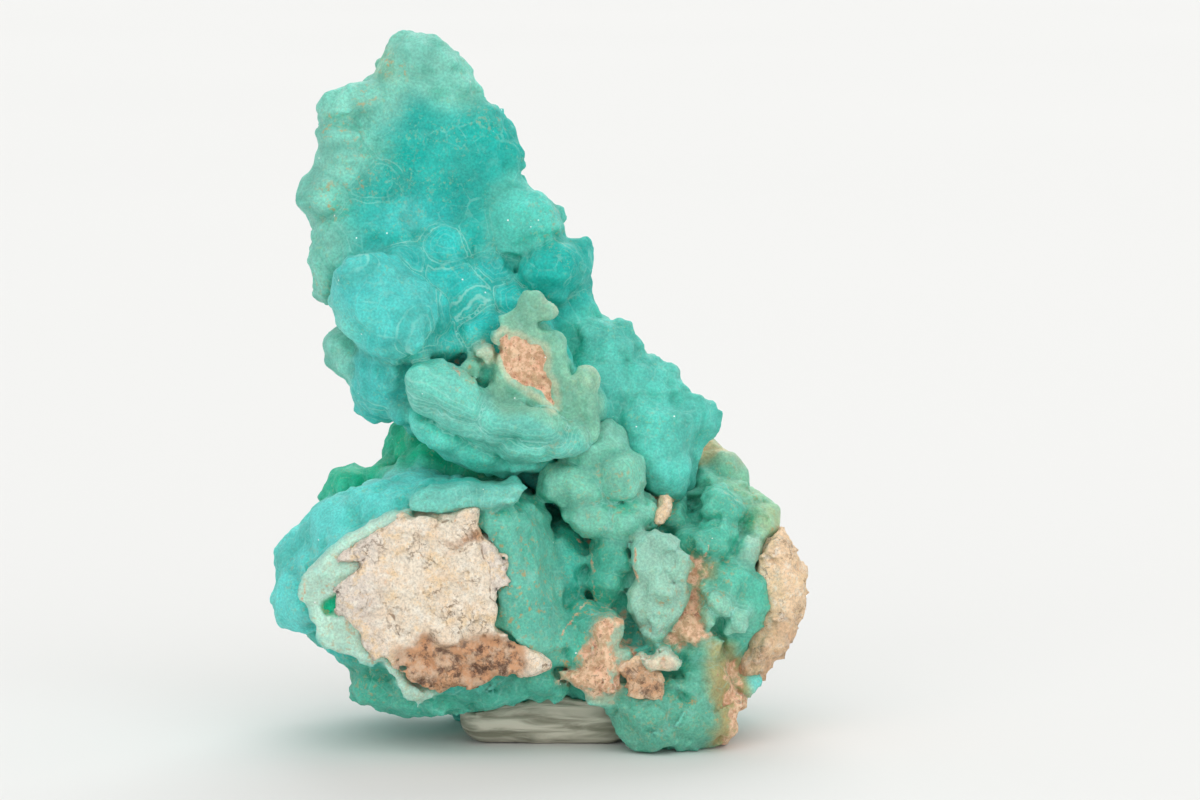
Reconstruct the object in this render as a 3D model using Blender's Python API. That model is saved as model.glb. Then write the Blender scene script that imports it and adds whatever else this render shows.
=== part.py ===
"""
A hemimorphite specimen on its rock, propped on a pad of display putty.

A leaning sheet of blue-green lumps stands on a base of the same growth. The growth
covers a block of cream rock, which is bare where the base is broken off in front, along
the right side, low in front, and over the back of the sheet. The pad of putty under
the base holds the specimen upright.

Rows and outlines are in millimetres of a specimen DRAWN_HEIGHT tall: x to the right as
seen from the front, depth away from the front, and height above the surface it stands on.
"""
from math import radians

import bmesh
import bpy
from mathutils import Matrix, Vector

HEIGHT = 0.0842
DRAWN_HEIGHT = 84.2
UNIT = HEIGHT / DRAWN_HEIGHT
GAP = 0.00034
CELL = 0.8 * UNIT
ROCK_GRAIN = 5.0 * UNIT
ROCK_RELIEF = 1.8 * UNIT

CRUST_TRIANGLES = 5200
ROCK_TRIANGLES = 2300

CRUST_COLOUR = (0.055, 0.47, 0.40, 1.0)
ROCK_COLOUR = (0.60, 0.44, 0.30, 1.0)
PUTTY_COLOUR = (0.52, 0.51, 0.46, 1.0)

# Slabs: an outline seen from the front, then the depth of its front and its back, the
# width of its rounded edge, and how far it leans back for each millimetre of height.
LEAN_FROM = 40.0
SHEET_OUTLINE = [
    (-15.6, 83.3), (-9.7, 81.7), (-7.3, 76.4), (-2.5, 68.6), (2.3, 61.7), (5.2, 54.1),
    (12.2, 45.2), (19.9, 38.5), (18.2, 31.9), (16.1, 26.4), (7.4, 24), (-4.5, 32.4),
    (-15, 37), (-22.4, 43), (-23.1, 46.6), (-21.9, 49.7), (-25.7, 54.1), (-26.4, 57.4),
    (-25.6, 60.5), (-26.8, 64.1), (-25.1, 72.4), (-25, 75.7), (-20.5, 77.4), (-17, 81.9),
]
SHEET_SLAB = (SHEET_OUTLINE, -2.1, 3.9, 1.6, 0.05)
FIN_OUTLINE = [
    (-4, 50), (-3.6, 51.9), (-2.3, 53.9), (-1.2, 54.7), (0.2, 54), (1.8, 53), (1.7, 51.6),
    (0.2, 51), (1.1, 49.7), (2.9, 48.1), (3.7, 45), (5.3, 45.7), (7.4, 43.8), (7.3, 38.6),
    (6.3, 37.2), (4.4, 39.4), (1, 39.8), (-2.2, 41), (-4.5, 43.1), (-4.6, 46.3),
]
FIN_SLAB = (FIN_OUTLINE, -11.7, -8.9, 0.5, 0.0)
BACKING_OUTLINE = [
    (-14, 82.6), (-10.5, 81.6), (-6.9, 76.1), (-2.1, 69.2), (3, 61.3), (5.8, 56.4),
    (8.4, 49.2), (13.9, 44.9), (20.7, 37.3), (20.1, 30.5), (18.3, 20.8), (7.4, 20.8),
    (-4.6, 35.4), (-16.6, 41.5), (-22.6, 53.6), (-23.1, 74), (-16.5, 78.8),
]
BACKING_SLAB = (BACKING_OUTLINE, 2.9, 7.7, 1.2, 0.05)
FRONT_FACE_OUTLINE = [
    (-23.3, 18.9), (-22.7, 20.8), (-21.6, 22.9), (-22.2, 25), (-18.1, 27.9), (-15.3, 28.9),
    (-10, 29), (-7.1, 30.2), (-6.6, 28.3), (-4.9, 25.5), (-2.3, 21), (-4.2, 20.5),
    (-4.4, 17.3), (-0.5, 12.1), (-3.7, 12.1), (-4.4, 11.1), (-11.9, 9), (-15.6, 11.6),
    (-19.1, 12.1), (-21, 15.9),
]
FRONT_FACE_SLAB = (FRONT_FACE_OUTLINE, -19.1, -3.5, 0.8, 0.0)
RIGHT_WALL_OUTLINE = [
    (29, 27.5), (29.7, 23.8), (30.8, 22.5), (31.9, 19.1), (31.8, 17.2), (29.9, 12.3),
    (27.1, 6.5), (24, 6.5), (23.9, 8.9), (26.3, 14), (27, 16.7), (25.6, 21.3),
    (26.5, 23.8), (27.9, 25.6),
]
RIGHT_WALL_SLAB = (RIGHT_WALL_OUTLINE, -8.5, 7.5, 2.0, 0.0)

# Lumps: x, depth and height of the middle, then half the width, depth and height, and in
# some rows how far the lump is turned, in degrees, anticlockwise as seen from the front.
SHEET_EDGE = [
    (-14.9, 2.1, 81.8, 2.3, 2.4, 2.3), (-11.9, 1.9, 81.1, 2.8, 2.6, 2.6),
    (-9.4, 2.3, 78.7, 2.4, 2.4, 2.4), (-17.7, 2.3, 80.6, 1.5, 2, 1.5),
    (-20.1, 1.1, 76.9, 3, 2.6, 2.1), (-23.5, 0.7, 75.7, 2.4, 2.6, 2.4),
    (-23.2, 0.7, 72.4, 2.5, 2.6, 2.1), (-22.8, 0.1, 69.1, 3.6, 3, 3.6),
    (-25.1, -0.3, 65.3, 2.8, 3, 2.7), (-19.4, -0.1, 66.5, 3.6, 2.6, 3.1),
    (-24.9, 0.3, 61, 2, 2.6, 1.9), (-25.4, -0.1, 57.5, 2.1, 2.8, 2.4),
    (-24.9, -0.1, 54.8, 2, 2.8, 2), (-23.7, -0.9, 59.2, 2.6, 2.8, 3.1),
    (-21.7, -1.1, 61.4, 3.1, 3, 3), (-17.1, -1.7, 61.7, 3.2, 3.2, 3.2),
    (-21.5, -1.9, 58.3, 3.3, 3.4, 2.6), (-17.4, -2.1, 58.6, 3.1, 3.4, 2.1),
]
SHEET_FACE = [
    (-19.5, -7.1, 53.6, 4.9, 6.6, 5.4, 12), (-15.9, -7.7, 52.3, 4.2, 6.4, 4.2),
    (-17, -7.5, 50.1, 4.7, 6.2, 3.5), (-15.4, -12.9, 51, 1.7, 1.8, 1.7),
    (-16.4, -3.9, 56.9, 3.5, 4, 2.6), (-11.6, -1.9, 57.6, 3.4, 4, 5.3, -10),
    (-6.8, -0.1, 61, 3.3, 2.8, 3.6), (-1.6, -0.1, 62.2, 4.5, 3.2, 4.3),
    (2, -0.9, 56.6, 3.9, 4.2, 3.7), (-3.3, -1.1, 52.1, 4, 3.6, 3.6),
    (-6.1, -0.3, 55.8, 3.3, 2.8, 3.1), (-8.9, -1.9, 51.2, 4.3, 4, 5),
    (-22.9, -0.5, 46, 2, 2.8, 2.6), (-17.7, -3.1, 45.1, 4.7, 5.4, 5),
    (-18.3, -1.5, 41.3, 3.1, 4, 2.6), (-15.5, -3.5, 39.9, 1.9, 2.8, 2),
    (-12, -1.9, 46.9, 5.5, 4.2, 4),
]
SHEET_BACK_EDGE = [
    (-22, 5.9, 70.4, 2.6, 3, 4.3), (-21.9, 6.5, 58.3, 3.1, 3.2, 4.8),
    (-18.6, 7.1, 45.9, 3.6, 3.6, 4.1), (-0.5, 7.5, 59.9, 2.4, 3, 4.1, -28),
    (13.2, 7.5, 38.5, 3.6, 4, 4.4, -40), (-12.9, 6.5, 79.9, 4.3, 3, 2.4, -20),
]
RIDGE = [
    (-12.8, -11.7, 43.5, 2.6, 3.4, 2.5, -30), (-9.9, -12.1, 41.5, 4.4, 3.6, 2.7, -36),
    (-6.8, -11.9, 38.8, 3, 3.4, 2.3, -40), (-10.1, -10.1, 44.1, 4.2, 3, 1.8, -34),
    (-6.9, -10.1, 41.7, 2.8, 2.8, 1.5, -38), (-2.4, -12.1, 37.5, 4.4, 3.8, 3.3, -24),
    (1.1, -11.9, 36.7, 4.9, 3.6, 3, -8), (4.6, -10.9, 36.4, 2.8, 3.4, 2.3, 20),
    (-0.1, -10.1, 39.8, 4.2, 3.2, 1.6, -18), (-11.4, -6.9, 38, 4.2, 5, 2.6, -30),
    (-8.1, -6.7, 35.6, 4.7, 4.8, 2.1, -16), (-2, -6, 34.3, 4, 4.5, 1.7),
]
FIN_ROOT = [
    (-7.6, -7.9, 45.9, 2.4, 2.4, 1.8, 30), (-5.5, -8.9, 43.1, 1.1, 1.6, 0.9),
]
COLUMN = [
    (9.3, -8.9, 32.8, 3.5, 4.4, 2.9), (4.4, -8.5, 31.3, 4, 4.6, 2.6),
    (6, -7.9, 28.3, 3.3, 4.2, 2.8), (7, -6.5, 35.5, 4.3, 5, 3.1), (10.3, -7.1, 27.5, 4, 4.8, 3.5),
    (8.9, -5.9, 21.8, 3, 5.4, 5.9), (12.8, -2.1, 36.4, 5, 5.2, 5.7), (17.5, 0.1, 38, 3.8, 4.8, 3.6),
    (15.5, -2.5, 37.6, 2.6, 3.2, 2.4), (15.1, -2.5, 32.8, 3.6, 4.8, 3.6),
    (12.2, 0.3, 42.3, 4.5, 4, 3.6, -30), (7.9, 0.1, 46.9, 3.8, 4, 3.8, -30),
    (14.8, 0.9, 42, 2.6, 3.2, 2.2), (6.5, -1.5, 41.6, 4.8, 4.2, 4.8),
]
DOME = [
    (-2.8, -5.5, 18.9, 5.7, 12.4, 10), (-4.9, -5.5, 25.8, 5.5, 11.4, 4.7),
    (-0.9, -5.9, 13.9, 5.5, 11.6, 5.5), (2.9, -2.5, 20.2, 3.6, 7.4, 6.9),
    (4.3, -1.5, 17.7, 2.9, 5.4, 4.5),
]
TOP_RIM = [
    (-13.4, -14.9, 30.1, 2.6, 3, 0.9, 18), (-10.3, -15.3, 31.1, 3, 3.4, 1.2, 8),
    (-6.5, -14.9, 31.2, 3.3, 3.6, 1.3, 0), (-3.5, -13.5, 30.6, 2.6, 3.8, 1.4, -10),
]
LEFT_RIM = [
    (-16.9, -14.1, 27.8, 3.7, 3.6, 1.4, 24), (-20.6, -13.9, 25.4, 3.3, 4, 2.1, 36),
    (-23.7, -12.9, 21.7, 3, 4.6, 3.8, 20), (-25.5, -11.9, 18.2, 2.7, 4.8, 3.3),
    (-24.1, -11.1, 14.5, 3.3, 5, 2.6), (-21.8, -11.1, 12, 3.1, 4.8, 2.4),
    (-17.2, -6, 29, 5.9, 6.6, 3.6, 20), (-22.3, -4.5, 25.2, 5.7, 6.8, 4.5, 30),
    (-25.4, 0.5, 24.9, 3.8, 5, 3.5), (-28, -3, 17.3, 3.8, 5.6, 4.4), (-26, -2.5, 21, 4.3, 5.4, 4.5),
    (-13.5, -2.5, 28.6, 5.5, 6, 3.3),
]
GREEN_LUMPS = [
    (-22.3, 5.5, 28.6, 3, 4.4, 3), (-24.3, 5.5, 28.3, 1.4, 2.8, 1.4),
    (-18.9, 5.5, 29.3, 2.7, 4.2, 2.9), (-17.7, 7.5, 31.8, 1.8, 3.4, 1.8),
    (-15.3, 6.5, 34.3, 2.3, 4.6, 3.6, -15), (-16.4, 3.5, 30.3, 1.2, 2.2, 1.3),
    (-12.5, 3.5, 32, 4.1, 5, 4.6), (-7, 2.5, 31.4, 6.5, 5, 4.6),
]
UNDERSIDE = [
    (-18.9, -7.5, 7.7, 3.6, 5.2, 3.1), (-14.9, -7.5, 6.3, 3.8, 5.2, 2.5),
    (-11.3, -9, 6.1, 3.6, 4.6, 2), (-15.2, -12.9, 9.1, 1.4, 2.4, 2.4, -35),
    (-6.3, -9.5, 7.5, 5.2, 5.4, 2.4), (-0.8, -10, 8.4, 5, 5.4, 2.4), (5.1, -9, 13.5, 4.3, 5.2, 4.7),
]
FOOT = [
    (13.9, -11, 4.7, 5, 5.6, 4.5), (10.7, -10, 6.7, 3.1, 4.8, 3.3), (13.6, -11.7, 2.2, 2.8, 3.6, 2),
    (18.6, -10, 3.8, 4, 5, 3.5), (19.3, -8.5, 7.4, 3.8, 5.2, 4.5), (22.1, -8.5, 4.2, 2, 3.4, 3.1),
    (21.9, -7, 7.1, 2.4, 4, 3.8),
]
RIGHT_CLUSTER = [
    (15, -10.9, 21.9, 3.3, 2.4, 4.5, 8), (15.4, -11.3, 19.3, 2.9, 2.2, 3.8),
    (12.9, -11.3, 18.1, 2.5, 2, 2.1, 30), (13.9, -11.5, 15.3, 1.5, 1.8, 2.4),
    (13.6, -10.5, 24.9, 1.8, 2, 1.9), (22, -2.7, 27.8, 3.1, 3.4, 3),
    (20, -6.1, 24.4, 3.6, 3.8, 2.7), (18.2, -2.5, 25.9, 1.7, 2.4, 1.9),
    (16.5, -3.5, 27, 1.5, 2.4, 1.7), (24.5, 1.5, 27.4, 4.3, 5, 2.9, -35),
    (21.4, 3.5, 29.3, 3.8, 4.5, 2.2, -34), (27.2, 1.5, 24.8, 2.6, 4.4, 3.8),
    (25, -6.1, 23, 1.8, 2.8, 1.9), (21.9, -6.5, 19, 4, 5, 4), (23.8, -5.9, 17, 3.8, 5, 4.5),
    (21.8, -10.7, 17.7, 1.4, 2.2, 1.5), (23.5, -9.9, 15.8, 1.5, 2.2, 1.7),
    (20.4, -9.7, 16, 1.2, 2.2, 1.3), (23.6, -6.5, 12.3, 1.9, 3.2, 2.4),
    (18.7, -5.9, 19.2, 2.6, 4.2, 4.3), (18.1, -6.5, 14.2, 3.6, 4.6, 3.6),
    (19.1, -6.9, 11.3, 3.8, 4.6, 3.3),
]
BASE_BACK = [
    (-24.6, 6.5, 14.5, 5.3, 6.6, 5.3), (-19.4, 10.5, 21.5, 5.6, 6.4, 4.9),
    (-17, 10.5, 10.1, 6.8, 7, 6.1), (-9.5, 13.5, 17, 6.4, 5.6, 5.9),
    (-2.3, 12.5, 24.6, 5.4, 5, 4.4), (19.7, 13.5, 12.1, 6.1, 5, 6.4),
    (25, 9.5, 18.7, 4.6, 5.4, 5.1), (12.3, 13.5, 24.5, 6.1, 4.6, 4.7), (7.4, 8.5, 5.5, 7.6, 7, 4.6),
    (-4.7, 6.5, 4.6, 8, 7.6, 4.4), (18.4, 6.5, 4.6, 5.6, 6, 4.1),
]
BULK = [
    (-16.3, 1.3, 73.1, 6.2, 3.4, 5.5, 10), (-8, 1.7, 70.7, 5, 3.2, 5.9),
    (-11.6, 1.3, 64.7, 7.1, 3.4, 5.2), (-19.9, -0.1, 60.1, 5.7, 4, 5.9),
    (-12.7, -2.1, 51.9, 8.3, 4, 7.1), (-4.4, -6, 38.7, 8.3, 5.5, 4, -20),
    (-0.2, -5.5, 43.4, 5, 5, 5), (-0.8, -5, 47.5, 3.1, 5, 3.5), (5.1, -5.5, 40.4, 3.1, 4.4, 3.3),
    (-13.1, -2, 16.8, 14.1, 15.6, 11, 6), (2.6, 6.5, 20.6, 8.5, 7, 10.9),
    (-9.1, -9.1, 27.8, 7.8, 8.2, 2.9), (-9.3, -3.5, 10.1, 11.7, 13, 6), (6.2, -2.5, 9.9, 6, 9, 5),
    (15.1, -1.5, 10.7, 10.1, 9.4, 7.7), (14.6, -6.5, 19.6, 2.8, 4.4, 4.7),
    (19.7, 3, 18.1, 7.9, 10.5, 9.9), (12.3, 3.5, 23.5, 10.8, 9, 8.4), (7.4, 2.5, 17.6, 9.6, 9, 9.6),
    (10.8, -3.5, 18.5, 3.6, 6, 5.5), (-14.4, 6.5, 16.9, 12.1, 9, 9.5),
    (7.4, 8.5, 15.4, 13.4, 9, 10),
]
CRUST_LUMPS = (
    SHEET_EDGE + SHEET_FACE + SHEET_BACK_EDGE + RIDGE + FIN_ROOT
    + COLUMN + DOME + TOP_RIM + LEFT_RIM + GREEN_LUMPS
    + UNDERSIDE + FOOT + RIGHT_CLUSTER + BASE_BACK + BULK
)
ROCK_LUMPS = [
    (0.2, 2.5, 15.9, 20.1, 9, 8), (7.4, 11.5, 19.8, 12.2, 6, 8.1, 10),
    (22, 2, 14.5, 9, 5, 6), (7, -10, 12.2, 3, 5, 4.8, 10), (9.4, -10.8, 8.4, 3.4, 4.2, 2.6),
    (14, -12.6, 8.7, 3.2, 4.4, 2.4, -14), (15.4, -11.8, 10.8, 2, 3, 1.3, 20),
    (0.7, 12.5, 9.8, 13.3, 6.6, 6.7, -14), (12.3, 10.5, 11.3, 11.2, 7, 7.6, 20),
    (7.4, 6.5, 31.6, 9.1, 5, 12.1, -30), (-4.6, 7.3, 56.8, 5, 2.8, 9, -28),
    (-11.8, 6.9, 67.9, 7, 2.4, 9, -10), (-4.6, 7.5, 42.4, 10.1, 3, 8, -40),
]
# Blocks of rock: as the lumps, always with the turn.
ROCK_BLOCKS = [
    (19.5, 6.1, 32.1, 3.4, 3, 2.4, -35), (15.1, -5.5, 28, 1.1, 2.6, 1.9, -20),
]

# The putty pad, a rounded slab: its middle, then half its width, depth and height.
PUTTY_BLOCK = (1.0, -0.5, 3.6, 10.3, 9.0, 3.6)
PUTTY_ROUNDING = 2.2


def clear_scene():
    """Remove whatever the file opened with."""
    for thing in list(bpy.data.objects):
        bpy.data.objects.remove(thing, do_unlink=True)


def stone_material(name, colour, roughness):
    """One plain opaque finish."""
    finish = bpy.data.materials.new(name)
    finish.use_nodes = True
    shader = finish.node_tree.nodes["Principled BSDF"]
    shader.inputs["Base Color"].default_value = colour
    shader.inputs["Roughness"].default_value = roughness
    shader.inputs["Metallic"].default_value = 0.0
    return finish


def placed(x, depth, height, half_width, half_depth, half_height, turn=0.0):
    """The matrix that takes a unit shape to its place and size."""
    place = Vector((x, depth, height)) * UNIT
    size = Vector((half_width, half_depth, half_height)) * UNIT
    turning = Matrix.Rotation(-radians(turn), 4, "Y")
    return Matrix.Translation(place) @ turning @ Matrix.Diagonal(size).to_4x4()


def add_lump(shape, row):
    """An ellipsoid, one rounded lump of growth or of rock."""
    bmesh.ops.create_icosphere(shape, subdivisions=3, radius=1.0, matrix=placed(*row))


def add_block(shape, row):
    """A box of rock with broken-off corners."""
    made = bmesh.ops.create_cube(shape, size=2.0, matrix=placed(*row))
    edges = list({edge for vert in made["verts"] for edge in vert.link_edges})
    bmesh.ops.bevel(shape, geom=edges, offset=0.8 * UNIT, segments=1, affect="EDGES")


def add_slab(shape, outline, front, back, rounding, lean):
    """A slab with the given outline, rounded where its faces meet its edge."""
    ring = [shape.verts.new(Vector((x, front, z)) * UNIT) for x, z in outline]
    face = shape.faces.new(ring)
    face.normal_update()
    if face.normal.y > 0:
        face.normal_flip()
    pulled = bmesh.ops.extrude_face_region(shape, geom=[face], use_keep_orig=True)
    back_ring = [item for item in pulled["geom"] if isinstance(item, bmesh.types.BMVert)]
    bmesh.ops.translate(shape, verts=back_ring, vec=(0.0, (back - front) * UNIT, 0.0))
    verts = ring + back_ring
    rims = {edge for vert in verts for edge in vert.link_edges
            if abs(edge.verts[0].co.y - edge.verts[1].co.y) < UNIT * 0.01}
    rounded = bmesh.ops.bevel(shape, geom=list(rims), offset=rounding * UNIT, segments=2,
                              affect="EDGES", clamp_overlap=True)
    verts = {vert for vert in verts + rounded["verts"] if vert.is_valid}
    for vert in verts:
        vert.co.y += lean * (vert.co.z - LEAN_FROM * UNIT)


def new_node(name, shape, finish):
    """Turn the shape into an object with one material."""
    bmesh.ops.recalc_face_normals(shape, faces=shape.faces)
    mesh = bpy.data.meshes.new(name)
    shape.to_mesh(mesh)
    shape.free()
    mesh.materials.append(finish)
    node = bpy.data.objects.new(name, mesh)
    bpy.context.scene.collection.objects.link(node)
    return node


def bake(node):
    """Replace the mesh by the one its modifiers give."""
    graph = bpy.context.evaluated_depsgraph_get()
    graph.update()
    mesh = bpy.data.meshes.new_from_object(node.evaluated_get(graph))
    node.modifiers.clear()
    node.data = mesh


def fuse(node, cell, softening):
    """Join overlapping lumps and slabs into one skin and soften the creases."""
    skin = node.modifiers.new("one skin", "REMESH")
    skin.mode = "VOXEL"
    skin.voxel_size = cell
    soften = node.modifiers.new("soften", "SMOOTH")
    soften.factor = 0.5
    soften.iterations = softening
    bake(node)


def roughen(node, grain, depth):
    """Push the skin in and out, as broken rock is."""
    pattern = bpy.data.textures.new(node.name + " grain", "CLOUDS")
    pattern.noise_scale = grain
    pattern.noise_depth = 2
    push = node.modifiers.new("broken surface", "DISPLACE")
    push.texture = pattern
    push.strength = depth
    push.mid_level = 0.5
    bake(node)


def thin_out(node, triangles):
    """Bring the skin down to about this many triangles."""
    node.data.calc_loop_triangles()
    fewer = node.modifiers.new("fewer triangles", "DECIMATE")
    fewer.ratio = min(1.0, triangles / len(node.data.loop_triangles))
    fewer.use_collapse_triangulate = True
    bake(node)


def swollen_cutter(node, by):
    """A copy of the node, larger by a gap all round, to cut its neighbour with."""
    cutter = node.copy()
    cutter.data = node.data.copy()
    cutter.name = node.name + " cutter"
    bpy.context.scene.collection.objects.link(cutter)
    swell = cutter.modifiers.new("gap", "DISPLACE")
    swell.strength = by
    swell.mid_level = 0.0
    bake(cutter)
    cutter.hide_render = True
    cutter.display_type = "WIRE"
    return cutter


def cut(node, cutters):
    """Take the cutters out of the node and keep its largest body."""
    for cutter in cutters:
        taking = node.modifiers.new("room for " + cutter.name, "BOOLEAN")
        taking.operation = "DIFFERENCE"
        taking.solver = "EXACT"
        taking.object = cutter
    bake(node)
    keep_largest_body(node)


def keep_largest_body(node):
    """Drop the crumbs that a cut leaves behind."""
    shape = bmesh.new()
    shape.from_mesh(node.data)
    bodies = []
    unseen = set(shape.verts)
    while unseen:
        body = set()
        edge_of_search = [unseen.pop()]
        while edge_of_search:
            vert = edge_of_search.pop()
            body.add(vert)
            for edge in vert.link_edges:
                other = edge.other_vert(vert)
                if other in unseen:
                    unseen.remove(other)
                    edge_of_search.append(other)
        bodies.append(body)
    bodies.sort(key=len, reverse=True)
    crumbs = [vert for body in bodies[1:] for vert in body]
    bmesh.ops.delete(shape, geom=crumbs, context="VERTS")
    bmesh.ops.triangulate(shape, faces=shape.faces)
    shape.to_mesh(node.data)
    shape.free()


def make_crust(finish):
    """The blue-green growth: the sheet, the ridge and fin on it, and the base."""
    shape = bmesh.new()
    add_slab(shape, *SHEET_SLAB)
    add_slab(shape, *FIN_SLAB)
    for row in CRUST_LUMPS:
        add_lump(shape, row)
    crust = new_node("hemimorphite_crust", shape, finish)
    fuse(crust, CELL, 2)
    thin_out(crust, CRUST_TRIANGLES)
    return crust


def make_rock(finish):
    """The cream rock inside the base and behind the sheet."""
    shape = bmesh.new()
    for slab in (BACKING_SLAB, FRONT_FACE_SLAB, RIGHT_WALL_SLAB):
        add_slab(shape, *slab)
    for row in ROCK_LUMPS:
        add_lump(shape, row)
    for row in ROCK_BLOCKS:
        add_block(shape, row)
    rock = new_node("matrix_rock", shape, finish)
    fuse(rock, CELL, 1)
    roughen(rock, ROCK_GRAIN, ROCK_RELIEF)
    thin_out(rock, ROCK_TRIANGLES)
    keep_largest_body(rock)
    return rock


def make_putty(finish):
    """The pad of putty: a rounded slab with a flat underside."""
    shape = bmesh.new()
    block = bmesh.ops.create_cube(shape, size=2.0, matrix=placed(*PUTTY_BLOCK))
    upright = {edge for vert in block["verts"] for edge in vert.link_edges
               if abs(edge.verts[0].co.z - edge.verts[1].co.z) > UNIT}
    bmesh.ops.bevel(shape, geom=list(upright), offset=3.4 * PUTTY_ROUNDING * UNIT,
                    segments=5, affect="EDGES", profile=0.5)
    shape.edges.ensure_lookup_table()
    level = [edge for edge in shape.edges
             if abs(edge.verts[0].co.z - edge.verts[1].co.z) < 0.01 * UNIT]
    bmesh.ops.bevel(shape, geom=level, offset=PUTTY_ROUNDING * UNIT, segments=3,
                    affect="EDGES", profile=0.5)
    return new_node("display_putty", shape, finish)


def centre_on_origin(nodes, cutters):
    """Bring the middle of the footprint to the origin and the underside to zero."""
    points = [vert.co for node in nodes for vert in node.data.vertices]
    low = Vector([min(point[axis] for point in points) for axis in range(3)])
    high = Vector([max(point[axis] for point in points) for axis in range(3)])
    middle = (low + high) / 2
    shift = Matrix.Translation((-middle.x, -middle.y, -low.z))
    print("size in mm", [round(side * 1000, 2) for side in high - low])
    print("moved by, in mm", [round(part * 1000, 2) for part in shift.translation])
    for piece in nodes + cutters:
        piece.data.transform(shift)


def main():
    clear_scene()
    crust = make_crust(stone_material("hemimorphite", CRUST_COLOUR, 0.45))
    rock = make_rock(stone_material("cream rock", ROCK_COLOUR, 0.9))
    putty = make_putty(stone_material("grey putty", PUTTY_COLOUR, 0.7))
    rock_cutter = swollen_cutter(rock, GAP)
    growth_cutter = swollen_cutter(crust, GAP)
    cut(crust, [rock_cutter])
    cut(putty, [growth_cutter, rock_cutter])
    centre_on_origin([crust, rock, putty], [rock_cutter, growth_cutter])
    for node in (crust, rock, putty):
        print(node.name, len(node.data.polygons), "triangles")


main()
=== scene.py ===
# %% [markdown]
# A hemimorphite specimen: blue-green growth in rounded lumps over a block of cream rock,
# propped on a pad of display putty. The packed solids give every size and place. Here
# each of them gets a finer skin with its own colours and grain, and then a studio.

# %% Load the packed solids
from math import radians, cos, sin

import bpy
import numpy as np
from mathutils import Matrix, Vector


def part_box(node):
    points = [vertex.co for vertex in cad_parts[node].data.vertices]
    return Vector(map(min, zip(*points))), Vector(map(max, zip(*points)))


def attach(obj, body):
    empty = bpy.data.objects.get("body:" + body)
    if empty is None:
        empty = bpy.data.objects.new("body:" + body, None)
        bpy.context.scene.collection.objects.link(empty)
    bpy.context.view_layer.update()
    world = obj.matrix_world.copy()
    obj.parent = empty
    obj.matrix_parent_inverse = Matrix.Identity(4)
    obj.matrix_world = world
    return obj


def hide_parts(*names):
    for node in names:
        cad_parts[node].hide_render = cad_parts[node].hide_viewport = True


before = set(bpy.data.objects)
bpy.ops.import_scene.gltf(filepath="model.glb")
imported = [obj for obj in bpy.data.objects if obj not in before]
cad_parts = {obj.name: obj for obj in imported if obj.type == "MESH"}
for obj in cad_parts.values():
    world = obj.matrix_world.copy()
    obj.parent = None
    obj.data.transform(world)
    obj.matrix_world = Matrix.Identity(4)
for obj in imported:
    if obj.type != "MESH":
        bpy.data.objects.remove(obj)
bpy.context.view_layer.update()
MM = 0.001

# %% [markdown]
# Growth like this is a crowd of balls that swelled into each other. Sculpting or
# metaballs could make it. We keep control by sampling space on a grid instead: each
# sample holds its distance to the skin, negative inside. Two lumps join by taking the
# smaller distance, blended near their crease. The skin is then read off the grid.

# %% A block of sampled space
FAR = 50.0
WIDE_BEND, WIDE_PUSH = 4.0, 0.60
NARROW_BEND, NARROW_PUSH = 1.8, 0.26


class Space:
    """Distances to a skin, in millimetres, sampled on a grid; negative is inside."""

    def __init__(self, low, high, cell):
        self.low = np.array(low, float)
        self.cell = cell
        count = np.ceil((np.array(high) - self.low) / cell).astype(int) + 1
        self.gap = np.full(count, FAR, np.float32)
        self.bend = [np.zeros((1, 1, 1))] * 3

    def random_field(self, size, seed):
        """Random values over the grid that change over about this many millimetres."""
        chance = np.random.default_rng(seed)
        field = chance.uniform(-1, 1, [int(n * self.cell / size) + 3 for n in self.gap.shape])
        for axis in range(3):
            at = np.arange(self.gap.shape[axis]) * self.cell / size
            base = at.astype(int)
            part = (at - base) ** 2 * (3 - 2 * (at - base))
            part = part.reshape([-1 if k == axis else 1 for k in range(3)])
            low, high = np.take(field, base, axis), np.take(field, base + 1, axis)
            field = low + (high - low) * part
        return field.astype(np.float32)

    def bend_space(self, seed):
        """Bend the space a little, so that no lump comes out a perfect egg."""
        self.bend = [WIDE_PUSH * self.random_field(WIDE_BEND, seed + axis)
                     + NARROW_PUSH * self.random_field(NARROW_BEND, seed + axis + 3)
                     for axis in range(3)]

    def bent(self, box, x, y, z):
        """The x, y and z of a slice after bending."""
        return [axis + move[box] if move.size > 1 else axis
                for axis, move in zip((x, y, z), self.bend)]

    def part(self, centre, reach):
        """The slice of the grid near a point, and its x, y and z."""
        last = np.array(self.gap.shape)
        start = np.clip(np.floor((centre - reach - self.low) / self.cell).astype(int), 0, last)
        stop = np.clip(np.ceil((centre + reach - self.low) / self.cell).astype(int) + 1, 0, last)
        axes = [self.low[k] + self.cell * np.arange(start[k], stop[k]) for k in range(3)]
        box = tuple(slice(a, b) for a, b in zip(start, stop))
        x, y, z = (axes[0][:, None, None], axes[1][None, :, None], axes[2][None, None, :])
        return box, x, y, z

    def axes(self):
        """The x, the y and the z of the samples along the three edges of the grid."""
        return [self.low[k] + self.cell * np.arange(self.gap.shape[k]) for k in range(3)]

    def near_skin(self, within):
        """The samples that are this near to the skin: their grid numbers, their points."""
        close = np.nonzero(np.abs(self.gap) < within)
        return close, self.low + self.cell * np.stack(close, axis=1)


print("a block of 5 mm holds", Space((0, 0, 0), (5, 5, 5), 1.0).gap.size, "samples, 1 mm apart")

# %% [markdown]
# A lump of growth is an ellipsoid: its middle, half its sizes and its turn. To add one,
# every sample near it keeps the smaller of two distances. Where the two are nearly the
# same the result is lowered a little, which fills the crease with a soft fillet.

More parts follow.
